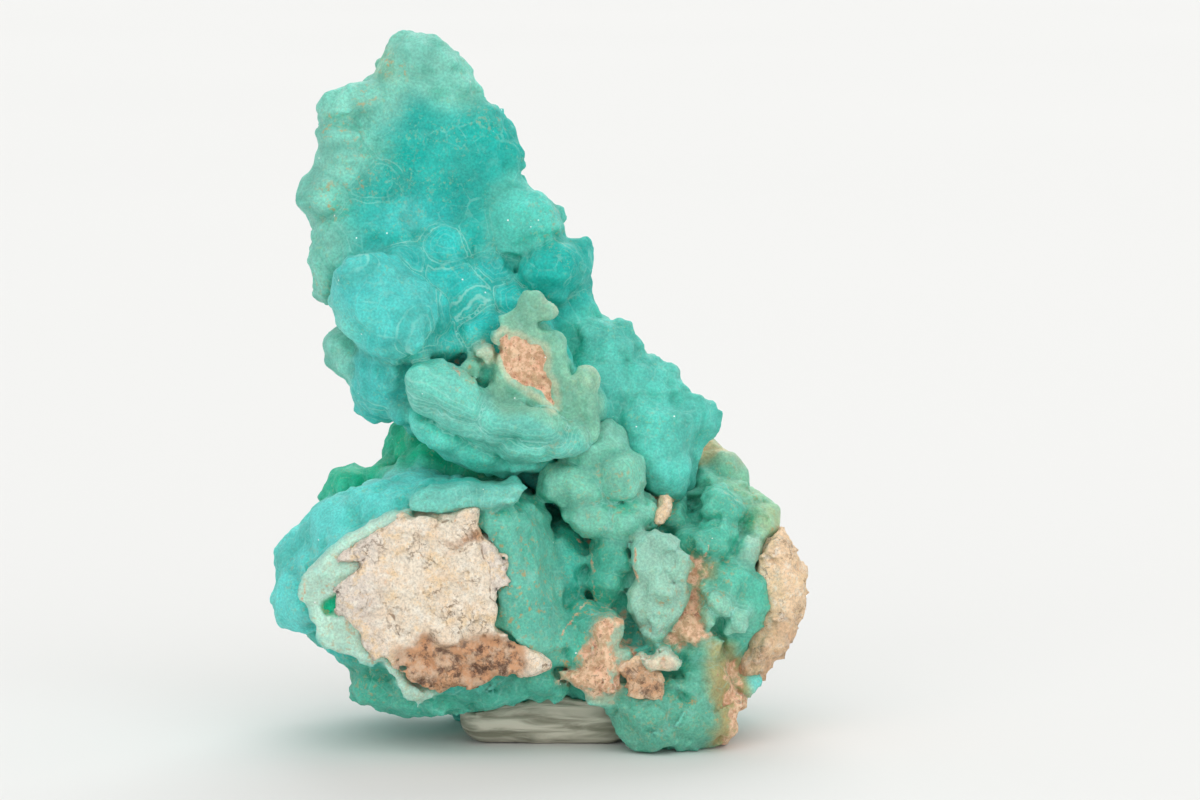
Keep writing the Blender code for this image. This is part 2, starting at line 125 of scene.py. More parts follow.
# %% Lumps that melt together
def turned(x, z, degrees):
    """x and z as seen by a lump turned anticlockwise in the front view."""
    c, s = cos(radians(degrees)), sin(radians(degrees))
    return c * x + s * z, c * z - s * x


def lump_gap(x, y, z, row):
    """Distance to an ellipsoid: its middle, its half sizes and its turn."""
    x, y, z = x - row[0], y - row[1], z - row[2]
    if len(row) > 6 and row[6]:
        x, z = turned(x, z, row[6])
    a, b, c = x / row[3], y / row[4], z / row[5]
    near = np.sqrt(a * a + b * b + c * c)
    slope = np.sqrt((a / row[3]) ** 2 + (b / row[4]) ** 2 + (c / row[5]) ** 2)
    return near * (near - 1) / np.maximum(slope, 1e-6)


def blended(a, b, crease):
    """The nearer of two skins, with the crease between them filled this softly."""
    h = np.maximum(crease - np.abs(a - b), 0) / crease
    return np.minimum(a, b) - h * h * crease / 4


def body_gap(x, y, z, rows, softness):
    """Distance to a few lumps that melt into one body."""
    gap = lump_gap(x, y, z, rows[0])
    for row in rows[1:]:
        gap = blended(gap, lump_gap(x, y, z, row), softness)
    return gap


def grow(space, rows, softness, crease):
    """Add one body of melted lumps to the space."""
    middles = np.array([row[:3] for row in rows], float)
    reach = np.array([max(row[3:6]) for row in rows])[:, None] + 2 * crease + 1.0
    low, high = (middles - reach).min(axis=0), (middles + reach).max(axis=0)
    box, x, y, z = space.part((low + high) / 2, (high - low) / 2)
    if space.gap[box].size:
        x, y, z = space.bent(box, x, y, z)
        space.gap[box] = blended(space.gap[box], body_gap(x, y, z, rows, softness), crease)


BALL = (0.3, 0.2, 0.1, 3.0, 3.0, 3.0)
print("4 mm beside the middle of a ball of 3 mm the gap is",
      round(lump_gap(BALL[0] + 4.0, BALL[1], BALL[2], BALL), 3), "mm")

# %% [markdown]
# The leaning sheet, the fin on it, the thin plates of the base and the broken rock faces
# are slabs. A slab is an outline drawn from the front, the depths of its front and its
# back, the rounding of its edge, and how far it leans back for each millimetre upwards.
# An extruded curve could make one too, but a slab in the grid melts into its neighbours.

# %% Slabs from an outline
LEAN_FROM = 40.0
SLAB_MARGIN = 6.0


def outline_gap(x, z, outline):
    """Distance in the front view to a closed outline, negative inside."""
    nearest = np.full(np.broadcast(x, z).shape, 1e9)
    inside = np.zeros(nearest.shape, bool)
    for (ax, az), (bx, bz) in zip(outline, outline[1:] + outline[:1]):
        run, rise = bx - ax, bz - az
        along = np.clip(((x - ax) * run + (z - az) * rise) / (run * run + rise * rise), 0, 1)
        nearest = np.minimum(nearest, (x - ax - along * run) ** 2 + (z - az - along * rise) ** 2)
        crossing = ((az > z) != (bz > z)) & (x < run * (z - az) / (rise + 1e-9) + ax)
        inside ^= crossing
    nearest = np.sqrt(nearest)
    return np.where(inside, -nearest, nearest)


def slab_gap(x, y, z, slab):
    """Distance to a slab: outline, front, back, rounding of its edge, and lean."""
    outline, front, back, rounding, lean = slab
    across = outline_gap(x[:, :, 0], z[:, 0, :], outline)[:, None, :] + rounding
    middle = (front + back) / 2 + lean * (z - LEAN_FROM)
    through = np.abs(y - middle) - (back - front) / 2 + rounding
    outside = np.hypot(np.maximum(across, 0), np.maximum(through, 0))
    return outside + np.minimum(np.maximum(across, through), 0) - rounding


def lay_slab(space, slab, crease):
    """Add a slab to the space."""
    points = np.array(slab[0])
    middle = np.array([points[:, 0].mean(), (slab[1] + slab[2]) / 2, points[:, 1].mean()])
    reach = np.abs(points - middle[[0, 2]]).max() + SLAB_MARGIN
    box, x, y, z = space.part(middle, reach)
    if space.gap[box].size:
        space.gap[box] = blended(space.gap[box], slab_gap(x, y, z, slab), crease)


square = [(0, 0), (10, 0), (10, 10), (0, 10)]
print("in the middle of a square of 10 mm the gap is",
      outline_gap(np.array([5.0]), np.array([5.0]), square)[0], "mm")

# %% [markdown]
# Nothing on a mineral is smooth. This noise gives every point in space its own value
# between -1 and 1 that changes softly over a chosen size. Each corner of a coarse grid gets
# its value by scrambling its whole numbers, so that the same point always gets the same
# value. Coarse to fine layers of it roughen the skins, and mottle the colours later.

# %% Noise in space
MIX_AXES = np.array([73856093, 19349663, 83492791])
MIX_SEED = 2654435
MIX_ONE, MIX_TWO = 1274126177, 668265263
LARGEST, HALFWAY = 0x7FFFFFFF, 0x3FFFFFFF


def corners(part):
    """The eight corners of a grid cell, each with its weight at this part of the way."""
    for corner in range(8):
        step = np.array([corner & 1, corner >> 1 & 1, corner >> 2 & 1])
        yield step, np.where(step, part, 1 - part).prod(axis=1)


def noise(points, size, seed):
    """Soft random values between -1 and 1, changing over about this many millimetres."""
    scaled = points / size + 1000.0
    base = np.floor(scaled).astype(np.int64)
    part = scaled - base
    total = np.zeros(len(points))
    for step, weight in corners(part * part * (3 - 2 * part)):
        key = (base + step) @ MIX_AXES + seed * MIX_SEED
        key = (key ^ (key >> 13)) * MIX_ONE & LARGEST
        key = (key ^ (key >> 16)) * MIX_TWO & LARGEST
        total += weight * (key / HALFWAY - 1)
    return total


def layered(points, size, seed, layers=3):
    """Coarse to fine noise, each layer half the size and half the strength."""
    return sum(noise(points, size / 2 ** k, seed + k) / 2 ** k for k in range(layers))


def roughen(space, size, depth, seed, layers=3):
    """Push the skin in and out by layered noise."""
    close, points = space.near_skin(3 * depth + 2 * space.cell)
    space.gap[close] += depth * layered(points, size, seed, layers)


print("noise sample", np.round(noise(np.eye(3), 2.0, 1), 2))

# %% [markdown]
# To read the skin off the grid, each grid cell that the skin passes through gets one
# vertex, at the mean of the points where it crosses the cell's edges. Cells that share a
# crossed edge are joined by a four-sided face. This is the surface nets method.

# %% Read the skin off the grid
CORNERS = [(i, j, k) for i in (0, 1) for j in (0, 1) for k in (0, 1)]


def skin_cells(inside):
    """The grid cells that the skin passes through."""
    size = np.array(inside.shape)
    filled = np.zeros(size - 1, np.int8)
    for i, j, k in CORNERS:
        filled += inside[i:size[0] - 1 + i, j:size[1] - 1 + j, k:size[2] - 1 + k]
    return np.argwhere((filled > 0) & (filled < len(CORNERS)))


def skin_points(space, cells):
    """One vertex for each cell, at the mean of the crossings on the cell's edges."""
    total, count = np.zeros((len(cells), 3)), np.zeros(len(cells))
    for start in CORNERS:
        for axis in range(3):
            if start[axis]:
                continue
            end = np.array(start)
            end[axis] = 1
            a = space.gap[tuple((cells + start).T)]
            b = space.gap[tuple((cells + end).T)]
            crossed = (a < 0) != (b < 0)
            point = np.tile(np.array(start, float), (crossed.sum(), 1))
            point[:, axis] = a[crossed] / (a[crossed] - b[crossed])
            total[crossed] += point
            count[crossed] += 1
    return space.low + space.cell * (cells + total / count[:, None])


def skin(space):
    """Vertices in millimetres and four-sided faces of the skin."""
    inside = space.gap < 0
    cells = skin_cells(inside)
    number = np.full(np.array(inside.shape) - 1, -1, np.int64)
    number[tuple(cells.T)] = np.arange(len(cells))
    faces = []
    for axis in range(3):
        u, v = (axis + 1) % 3, (axis + 2) % 3
        first, second = [slice(1, -1)] * 3, [slice(1, -1)] * 3
        first[axis], second[axis] = slice(0, -1), slice(1, None)
        a, b = inside[tuple(first)], inside[tuple(second)]
        offset = np.ones(3, int)
        offset[axis] = 0
        for outward, crossed in ((1, a & ~b), (-1, ~a & b)):
            edge = np.argwhere(crossed) + offset
            ring = []
            for du, dv in ((1, 1), (0, 1), (0, 0), (1, 0)):
                corner = edge.copy()
                corner[:, u] -= du
                corner[:, v] -= dv
                ring.append(number[tuple(corner.T)])
            faces.append(np.stack(ring, axis=1)[:, ::outward])
    return skin_points(space, cells), np.concatenate(faces)


ball = Space((-5, -5, -5), (5, 5, 5), 1.0)
grow(ball, [BALL], 0.5, 1.0)
ball_points, ball_faces = skin(ball)
print("the ball on a grid of 1 mm has", len(ball_points), "vertices and", len(ball_faces), "faces")

# %% [markdown]
# Later steps ask the grid two things about any point: how far it is from the skin, and
# which way the skin faces there. The second is the slope of the first.

# %% Ask the grid about a point
def sampled(space, points, field=None):
    """The distance, or another field, at any points, read between the grid's samples."""
    field = space.gap if field is None else field
    at = np.clip((points - space.low) / space.cell, 0, np.array(space.gap.shape) - 1.001)
    base = np.floor(at).astype(int)
    total = np.zeros(len(points))
    for step, weight in corners(at - base):
        total += weight * field[tuple((base + step).T)]
    return total


def slopes(space, points):
    """The direction that the skin faces at each point."""
    out = np.zeros_like(points)
    for axis in range(3):
        step = np.zeros(3)
        step[axis] = space.cell
        out[:, axis] = sampled(space, points + step) - sampled(space, points - step)
    return out / np.maximum(np.linalg.norm(out, axis=1, keepdims=True), 1e-9)


ball_away = np.linalg.norm(ball_points - BALL[:3], axis=1)
print("the ball's vertices lie", ball_away.min().round(2), "to", ball_away.max().round(2),
      "mm from its middle; its lowest left one faces", slopes(ball, ball_points[:1]).round(1)[0])

# %% [markdown]
# The lumps, in millimetres from the drawing: the kind of growth, the middle (x, depth,
# height), half the width, depth and height, and the turn. Kinds differ in colour: the
# edges of the sheet are pale, its face is a strong blue-green, and so on. First come the
# big quiet shapes below the lumps, which have no kind, then the sheet from its rim to its
# face. Each lump was placed one by one over the photograph, so this is a list, not a formula.

# %% The lumps of the leaning sheet
SHEET_BULK = [
    (-16.3, 1.3, 73.1, 6.2, 3.4, 5.5, 10), (-8, 1.7, 70.7, 5, 3.2, 5.9),
    (-11.6, 1.3, 64.7, 7.1, 3.4, 5.2), (-19.9, -0.1, 60.1, 5.7, 4, 5.9),
    (-12.7, -2.1, 51.9, 8.3, 4, 7.1), (-4.4, -6, 38.7, 8.3, 5.5, 4, -20),
    (-0.2, -5.5, 43.4, 5, 5, 5), (-0.8, -5, 47.5, 3.1, 5, 3.5), (5.1, -5.5, 40.4, 3.1, 4.4, 3.3),
]
SHEET_EDGE = [
    ("pale", -14.9, 2.1, 81.8, 2.3, 2.4, 2.3), ("pale", -12.3, 1.9, 80.9, 2.7, 2.6, 2.6),
    ("pale", -10.0, 2.3, 78.4, 2.2, 2.4, 2.4), ("cream", -17.7, 2.3, 80.6, 1.5, 2, 1.5),
    ("pale", -20.1, 1.1, 76.9, 3, 2.6, 2.1), ("pale", -23.5, 0.7, 75.7, 2.4, 2.6, 2.4),
    ("pale", -23.2, 0.7, 72.4, 2.5, 2.6, 2.1), ("pale", -22.8, 0.1, 69.1, 3.6, 3, 3.6),
    ("pale", -25.1, -0.3, 65.3, 2.8, 3, 2.7), ("teal", -19.4, -0.1, 66.5, 3.6, 2.6, 3.1),
    ("pale", -24.9, 0.3, 61, 2, 2.6, 1.9), ("pale", -25.4, -0.1, 57.5, 2.1, 2.8, 2.4),
    ("pale", -24.9, -0.1, 54.8, 2, 2.8, 2), ("pale", -23.7, -0.9, 59.2, 2.6, 2.8, 3.1),
    ("teal", -21.7, 1.0, 61.4, 3.4, 3.4, 3.3), ("blue", -17.1, 1.0, 61.7, 3.7, 3.6, 3.7),
    ("teal", -21.5, 0.6, 58.3, 3.5, 3.8, 2.8), ("teal", -17.4, 0.4, 58.6, 3.3, 3.8, 2.4),
]
BIG_LOBE = [
    ("blue", -19.5, -7.1, 53.6, 4.9, 6.6, 5.4, 12), ("blue", -15.9, -7.7, 52.3, 4.2, 6.4, 4.2),
    ("blue", -17, -7.5, 50.1, 4.7, 6.2, 3.5),
]
SHEET_FACE = [
    ("blue", -14.4, -9.9, 48.0, 1.8, 2.2, 1.7), ("azure", -12.6, -8.0, 52, 2.0, 2.4, 2.2),
    ("blue", -15.2, -12.7, 50.8, 2.4, 1.7, 2.4), ("blue", -20.6, -10.2, 56.2, 2.6, 2.2, 2.2),
    ("azure", -16.4, -2.4, 56.9, 3.7, 4.2, 2.8), ("azure", -11.6, -0.2, 57.6, 3.7, 4.2, 5.2, -10),
    ("teal", -6.8, -0.1, 61, 3.3, 2.8, 3.6), ("mid", -1.6, -0.7, 62.2, 4.4, 3.2, 4.2),
    ("teal", 1.7, -1.4, 56.5, 3.8, 4.2, 3.6), ("azure", -3.3, -1.1, 52.1, 4, 3.6, 3.6),
    ("azure", -6.1, -0.8, 55.8, 3.3, 2.8, 3.1), ("azure", -8.9, -2.1, 51.2, 4.2, 4, 4.8),
    ("pale", -22.9, -0.5, 46, 2, 2.8, 2.6), ("blue", -17.7, -3.1, 45.1, 4.7, 5.4, 5),
    ("blue", -18.3, -1.5, 41.3, 3.1, 4, 2.6), ("blue", -15.5, -3.5, 39.9, 1.9, 2.8, 2),
    ("blue", -12, -1.9, 46.9, 5.5, 4.2, 4),
]
SHEET_RIGHT = [
    ("mid", 12.8, -2.1, 36.4, 5, 5.2, 5.7), ("mid", 16.6, 0.1, 38, 3.7, 4.8, 3.6),
    ("mid", 15.5, -2.5, 37.6, 2.6, 3.2, 2.4), ("mid", 15.1, -2.5, 32.8, 3.6, 4.8, 3.6),
    ("mid", 12.2, 0.3, 42.3, 4.5, 4, 3.6, -30), ("mid", 7.9, 0.1, 46.9, 3.8, 4, 3.8, -30),
    ("mid", 14.8, 0.9, 42, 2.6, 3.2, 2.2), ("mid", 6.5, -1.5, 41.6, 4.8, 4.2, 4.8),
]
SHEET_BACK_EDGE = [
    ("hind", -22, 5.9, 70.4, 2.6, 3, 4.3), ("hind", -21.9, 6.5, 58.3, 3.1, 3.2, 4.8),
    ("hind", -18.6, 7.1, 45.9, 3.6, 3.6, 4.1), ("hind", -0.5, 7.5, 59.9, 2.4, 3, 4.1, -28),
    ("hind", 13.2, 7.5, 38.5, 3.6, 4, 4.4, -40), ("hind", -12.9, 6.5, 79.9, 4.3, 3, 2.4, -20),
]
SHEET_OUTLINE = [
    (-15.6, 83.5), (-13.0, 83.5), (-10.6, 81.4), (-9.0, 78.9), (-8.2, 76.0), (-6.1, 73.7),
    (-4.8, 71.0), (-3.0, 68.2), (-1.0, 66.2), (1.6, 64.0), (2.5, 61.7), (3.8, 59), (5.1, 57),
    (5.4, 54.1), (6.8, 51.6), (7.9, 48.4), (11.7, 45.1), (14.3, 42.7), (17, 40.3), (19.1, 38.3),
    (20.2, 35.4), (18.2, 31.9), (16.1, 26.4), (7.4, 24), (0.8, 28.8), (-4.5, 32.4), (-15, 37),
    (-20.2, 40.9), (-22.7, 43), (-23.4, 46.6), (-22.2, 49.7), (-23.9, 52.2), (-26, 54.1),
    (-26.8, 57.4), (-26, 60.5), (-27.2, 64.1), (-27, 66.1), (-25.8, 68.9), (-25.3, 72.4),
    (-25.5, 75.9), (-24.1, 77.4), (-20.5, 77.6), (-18.2, 80), (-17, 82.1),
]
SHEET_SLAB = (SHEET_OUTLINE, -2.1, 3.9, 2.4, 0.05)
print("lumps drawn on the sheet", len(SHEET_EDGE + SHEET_FACE + SHEET_RIGHT + SHEET_BACK_EDGE))

# %% [markdown]
# Two long rolls of growth lie across the foot of the sheet like sausages, on a band of
# smaller lumps in a row. The fin is a thin broken plate that stands behind them, with two
# small chips at its left. It is a slab, and the last number beside each slab says how
# softly it joins what is there.

# %% The rolls and the fin
ROLL_BAND = [
    ("ridge", -13, -10.9, 43.1, 2.2, 3.1, 1.9), ("ridge", -11.3, -11.1, 41.6, 2.2, 3.2, 1.9),
    ("ridge", -9.4, -11.2, 40.1, 2.2, 3.2, 1.9), ("ridge", -7.2, -11.2, 38.9, 2.2, 3.2, 1.9),
    ("ridge", -4.9, -11.2, 37.8, 2.3, 3.2, 1.9), ("ridge", -2.4, -11.2, 37.1, 2.3, 3.2, 1.9),
    ("ridge", 0.2, -11.1, 36.9, 2.3, 3.1, 1.9), ("ridge", 2.7, -10.9, 37.1, 2.2, 3.1, 1.8),
    ("ridge", 4.6, -10.6, 37.7, 1.7, 3, 1.6),
]
ROLL_LEFT = [
    ("ridge", -12.7, -11.8, 44.2, 2.8, 3.2, 2.5, -30),
    ("ridge", -10.2, -12.0, 43.1, 3.4, 3.5, 2.9, -36),
    ("ridge", -8, -11.9, 41.4, 2.3, 3.2, 2.4, -38),
]
ROLL_RIGHT = [
    ("ridge", -4.8, -12.3, 40, 2.7, 3.2, 2.2, -20),
    ("ridge", -1.6, -12.3, 39.5, 3.3, 3.4, 2.3, -15),
    ("ridge", 1.2, -12, 38.8, 2.3, 3.1, 1.7, -15),
]
UNDER_ROLLS = [
    ("below", -11.4, -6.9, 38, 4.2, 5, 2.6, -30), ("below", -8.1, -6.7, 35.6, 4.7, 4.8, 2.1, -16),
    ("below", -2, -6, 34.3, 4, 4.5, 1.7), ("below", -5.9, -7.4, 45.2, 2.6, 2.8, 2.6),
    ("azure", -12, -5.2, 48.4, 4.2, 4, 2.6), ("azure", -6.6, -5, 49, 3, 3.6, 3),
]
FIN_LUMPS = [
    ("fin", -0.7, -10.8, 52.8, 1.5, 1.5, 1.7, -20), ("chalk", 1.1, -10.9, 52.4, 1.0, 1.3, 0.8),
    ("fin", 1.6, -10.6, 48.7, 1.6, 1.4, 1.3), ("fin", 2.3, -10.7, 46.0, 1.4, 1.4, 1.4),
    ("fin", -2.9, -10.5, 43.2, 1.9, 1.4, 1.6, -20), ("fin", 3.3, -10.5, 42.6, 1.4, 1.3, 2.2),
    ("chalk", 6.0, -11.0, 44.5, 1.2, 1.5, 1.1), ("fin", 6.4, -10.8, 41.2, 0.8, 1.5, 2.6),
    ("chalk", -5.3, -10.8, 43.3, 0.6, 1.2, 0.6),
]
FIN_OUTLINE = [
    (-2.3, 53.8), (-1.2, 54.8), (-0.1, 54.4), (0.7, 53.6), (1.6, 53.4), (2.1, 52.3), (1.6, 51.6),
    (0.1, 51.1), (-0.1, 50.6), (1.8, 49.9), (2.7, 49.1), (3.3, 48), (2.8, 46.9), (3.6, 46.3),
    (3.8, 45), (4, 44.6), (4.8, 45.2), (4.9, 45.8), (5.9, 45.8), (7.2, 44.8), (7.4, 44.3),
    (6.8, 43.1), (7.1, 41.6), (7.4, 38.6), (7, 37.3), (6.1, 37.1), (5.1, 38.6), (3.6, 39.2),
    (2.5, 39), (0.7, 40.1), (-0.8, 41), (-2.9, 40.8), (-3.8, 40.6), (-4.9, 41.6), (-5.1, 44.4),
    (-4.9, 46.3), (-4.7, 48.6), (-5.1, 49.7), (-4, 50.6), (-4.2, 51.9), (-3.1, 52.5), (-2.5, 52.9),
]
FIN_SLAB = (FIN_OUTLINE, -11.9, -9.0, 0.5, 0.0)
FIN_ROCK_OUTLINE = [
    (-4.6, 48.8), (-4, 50.1), (-3.4, 49.3), (-2.3, 49.5), (-0.8, 48.6), (0.7, 48.2), (1, 47.1),
    (0.8, 45.6), (1.6, 44.1), (2, 42.6), (2.1, 41.4), (1.4, 42), (-0.1, 42.9), (-1.6, 43.9),
    (-2.7, 44.6), (-3.3, 45.6), (-3.8, 46.5), (-4.6, 47.6),
]
CHALKY_CHIP = [
    (-7.4, 47.1), (-7.3, 48), (-6.2, 48.6), (-5.3, 48.4), (-4.8, 47.6), (-5, 46.7), (-5.7, 46.1),
    (-6.3, 46.3), (-6.6, 46.9),
]
GREEN_CHIP = [
    (-9.1, 45.8), (-8.1, 47), (-7.2, 47), (-6.5, 46), (-7, 44.3), (-8, 44.5), (-8.7, 45.1),
]
FIN_SLABS = [(FIN_SLAB, 0.5), ((CHALKY_CHIP, -12.2, -8.5, 0.4, 0.0), 0.3),
             ((GREEN_CHIP, -11.2, -7.5, 0.4, 0.0), 0.3)]
print("lumps in the rolls", len(ROLL_BAND + ROLL_LEFT + ROLL_RIGHT))
print("lumps on the fin", len(FIN_LUMPS))

# %% [markdown]
# The base swells round the rock. Its quiet shapes come first again. A column of lumps
# runs up from it to the rolls, and a smooth dome stands right of the bare rock face.

# %% The base, its column and its dome
BASE_BULK = [
    (-13.1, -2, 16.8, 14.1, 15.6, 11, 6), (2.6, 6.5, 20.6, 8.5, 7, 10.9),
    (-9.1, -9.1, 27.8, 7.8, 8.2, 2.9), (-9.3, -3.5, 10.1, 11.7, 13, 6), (6.2, -2.5, 9.9, 6, 9, 5),
    (15.1, -1.5, 10.7, 10.1, 9.4, 7.7), (14.6, -6.5, 19.6, 2.8, 4.4, 4.7),
    (19.7, 3, 18.1, 7.9, 10.5, 9.9), (12.3, 3.5, 23.5, 10.8, 9, 8.4), (7.4, 2.5, 17.6, 9.6, 9, 9.6),
    (10.8, -3.5, 18.5, 3.6, 6, 5.5), (-14.4, 6.5, 16.9, 12.1, 9, 9.5),
    (7.4, 8.5, 15.4, 13.4, 9, 10),
]
COLUMN = [
    ("column", 9.3, -8.9, 32.8, 3.5, 4.4, 2.9), ("column", 4.4, -8.5, 31.3, 4, 4.6, 2.6),
    ("column", 6, -7.9, 28.3, 3.3, 4.2, 2.8), ("column", 7, -6.5, 35.5, 4.3, 5, 3.1),
    ("column", 10.3, -7.1, 27.5, 4, 4.8, 3.5), ("under", 8.9, -5.9, 21.8, 3, 5.4, 5.9),
]
DOME = [
    ("dome", -2.8, -5.5, 18.9, 5.7, 12.4, 10), ("dome", -4.9, -5.5, 25.8, 5.5, 11.4, 4.7),
    ("dome", -0.9, -5.9, 13.9, 5.5, 11.6, 5.5), ("dome", -3.9, -9.2, 28.0, 4.0, 8.8, 2.9),
]
BESIDE_DOME = [
    ("deep", 2.9, -2.5, 20.2, 3.6, 7.4, 6.9), ("deep", 4.3, -1.5, 17.7, 2.9, 5.4, 4.5),
]
print("quiet shapes in the base", len(BASE_BULK), "and lumps in its column", len(COLUMN))

# %% [markdown]
# Where the growth is thin it ends in plates: a pale band down the left of the bare face,
# two rims over its top, a green strip under it and a leaf on the right. A low mass right
# of the dome and some pale chips beside it look like stone, but they are plates of the
# growth with a rocky colour, so that they fade softly into it.

# %% The plates of the base
LEFT_BAND = [
    (-15.1, 29.7), (-17.6, 29.1), (-19.7, 28.1), (-21.3, 27.2), (-22.7, 26.3), (-24.2, 24.8),
    (-25.3, 23.8), (-27.2, 22.3), (-27.9, 20.2), (-27.7, 18.9), (-26.5, 18.1), (-26.2, 16.4),
    (-25.6, 14.7), (-24.3, 13), (-22, 12.6), (-20.5, 11.8), (-19.3, 11.6), (-17.2, 12.4),
    (-16.6, 14.7), (-17.6, 24), (-13.8, 28.2),
]
BAND_POCKET = [
    (-25.6, 18.1), (-25, 19.1), (-23.2, 20), (-22.5, 19.1), (-22.9, 17.7), (-24.9, 17.2),
]
BACK_PLATE = [
    (-15, 30.4), (-14.2, 31.4), (-12.5, 32.4), (-11.3, 32.2), (-9.2, 32.6), (-7.4, 32.8),
    (-6.1, 32.2), (-4.1, 32.2), (-2.2, 32.6), (-1.4, 31.9), (-2.4, 30.9), (-5.1, 30.2),
    (-8.2, 29.8), (-11.3, 29.5), (-13.4, 29.4), (-14.6, 29.7),
]
FRONT_PLATE = [
    (-15.1, 30.3), (-13.8, 31.1), (-12.1, 31), (-10.2, 30.8), (-8.6, 31.4), (-7.6, 31.7),
    (-6.5, 31.4), (-4.4, 31.3), (-2.6, 31.3), (-5.1, 30.6), (-8.1, 30.1), (-11.3, 29.7),
    (-13.4, 29.8), (-14.6, 29.9),
]
GREEN_PLATE = [
    (-18.0, 12.1), (-16.4, 11.2), (-15.0, 9.4), (-13.6, 8.4), (-11.9, 7.7), (-12.9, 6.9),
    (-14, 6.1), (-15.4, 7.3), (-16.7, 9.2), (-17.7, 11),
]
LEAF_PLATE = [
    (11.4, 25.6), (12.4, 26.3), (14, 26.7), (15.7, 25.9), (16.7, 24.4), (17.8, 23.4),
    (18.1, 22.2), (17.6, 20.3), (17.8, 18.3), (16.9, 16.9), (15.7, 15.9), (14.8, 14.2),
    (14.1, 13.2), (13.3, 13.4), (12.4, 14.5), (11.7, 15.7), (10.9, 17.4), (10.7, 18.6),
    (11.7, 19.7), (11.9, 20.8), (11.5, 22.2), (11.4, 24.2),
]
LOW_MASS = [
    (7.1, 16.2), (8.5, 16.7), (10, 16), (10, 14.8), (9.7, 12.9), (10.9, 12.4), (10.5, 10.9),
    (9.5, 9.5), (10, 8), (8.5, 6.5), (7.3, 6.3), (5.7, 6.8), (5.2, 8.2), (2.8, 8.7), (2.6, 9.9),
    (5.2, 9.9), (5.7, 11.9), (6.6, 14.8),
]
PALE_CHIPS = [
    (12.1, 12.1), (13.3, 11.9), (14.8, 12.6), (15.7, 12.4), (16.7, 11.4), (15.7, 10.2),
    (14.5, 10.2), (13.3, 10.5),
]
BASE_PLATES = [
    ("band", LEFT_BAND, -17.7, -6.0, 1.0), ("rim", BACK_PLATE, -17.6, -9.0, 0.7),
    ("rim", FRONT_PLATE, -18.9, -12.0, 0.35), ("band", GREEN_PLATE, -17.3, -10.5, 0.45),
    ("leaf", LEAF_PLATE, -13.0, -10.2, 0.7), ("peach", LOW_MASS, -15.6, -6.0, 1.8),
    ("shell", PALE_CHIPS, -16.4, -9.0, 0.4),
]
print("plates", [plate[0] for plate in BASE_PLATES])

# %% [markdown]
# Round the rock the growth is lumpy again: sky-blue lumps at the left, green ones behind
# the bare face, dark ones on the underside and a broad foot in front of the putty. The
# leaf carries two lumps and two chalky chips.

# %% The lumps round the rock
LEFT_LUMPS = [
    ("sky", -17.2, -6, 29, 5.9, 6.6, 3.6, 20), ("sky", -22.3, -4.5, 25.2, 5.7, 6.8, 4.5, 30),
    ("sky", -24.5, 0.5, 24.7, 3.7, 5, 3.5), ("sky", -28, -3, 17.3, 3.8, 5.6, 4.4),
    ("sky", -26, -2.5, 21, 4.3, 5.4, 4.5), ("sky", -13.5, -2.5, 28.6, 5.5, 6, 3.3),
]
GREEN_LUMPS = [
    ("green", -22.3, 5.5, 28.6, 3, 4.4, 3), ("green", -24.3, 5.5, 28.3, 1.4, 2.8, 1.4),
    ("green", -18.9, 5.5, 29.3, 2.7, 4.2, 2.9), ("green", -17.7, 7.5, 31.8, 1.8, 3.4, 1.8),
    ("green", -15.3, 6.5, 34.3, 2.3, 4.6, 3.6, -15), ("green", -16.4, 3.5, 30.3, 1.2, 2.2, 1.3),
    ("green", -12.5, 3.5, 32, 4.1, 5, 4.6), ("green", -7, 2.5, 31.4, 6.5, 5, 4.6),
]
UNDERSIDE = [
    ("under", -18.9, -7.5, 7.7, 3.6, 5.2, 3.1), ("under", -14.9, -7.5, 6.3, 3.8, 5.2, 2.5),
    ("under", -11.3, -9, 6.1, 3.6, 4.6, 2), ("under", -16.8, -8.5, 9.6, 3.6, 4.6, 2.6),
    ("under", -6.3, -9.5, 7.5, 5.2, 5.4, 2.4), ("under", -0.8, -10, 8.4, 5, 5.4, 2.4),
    ("under", 5.1, -9, 13.5, 4.3, 5.2, 4.7),
]
FOOT = [
    ("foot", 13.9, -11, 4.7, 5, 5.6, 4.5), ("foot", 10.7, -10, 6.7, 3.1, 4.8, 3.3),
    ("foot", 13.6, -11.7, 2.2, 2.8, 3.6, 2), ("foot", 18.6, -10, 3.8, 4, 5, 3.5),
    ("foot", 19.3, -8.5, 7.4, 3.8, 5.2, 4.5), ("tan", 22.1, -8.5, 4.2, 2, 3.4, 3.1),
    ("tan", 21.9, -7, 7.1, 2.4, 4, 3.8),
]
LEAF = [
    ("leaf", 14.8, -10.9, 22, 2.9, 2.4, 4.1, 8), ("leaf", 14.6, -11.2, 18.2, 2.7, 2.2, 3.2),
    ("chalk", 15.6, -12.7, 19.2, 0.6, 0.9, 0.8), ("chalk", 12.3, -12.3, 18.5, 0.5, 0.8, 0.5),
]
print("lumps round the rock", len(LEFT_LUMPS + GREEN_LUMPS + UNDERSIDE + FOOT + LEAF))

# %% [markdown]
# At the right the base ends in a crowd of small knobs, some with a ring round them. The
# photograph doesn't show the back, so its large soft lumps are a guess.

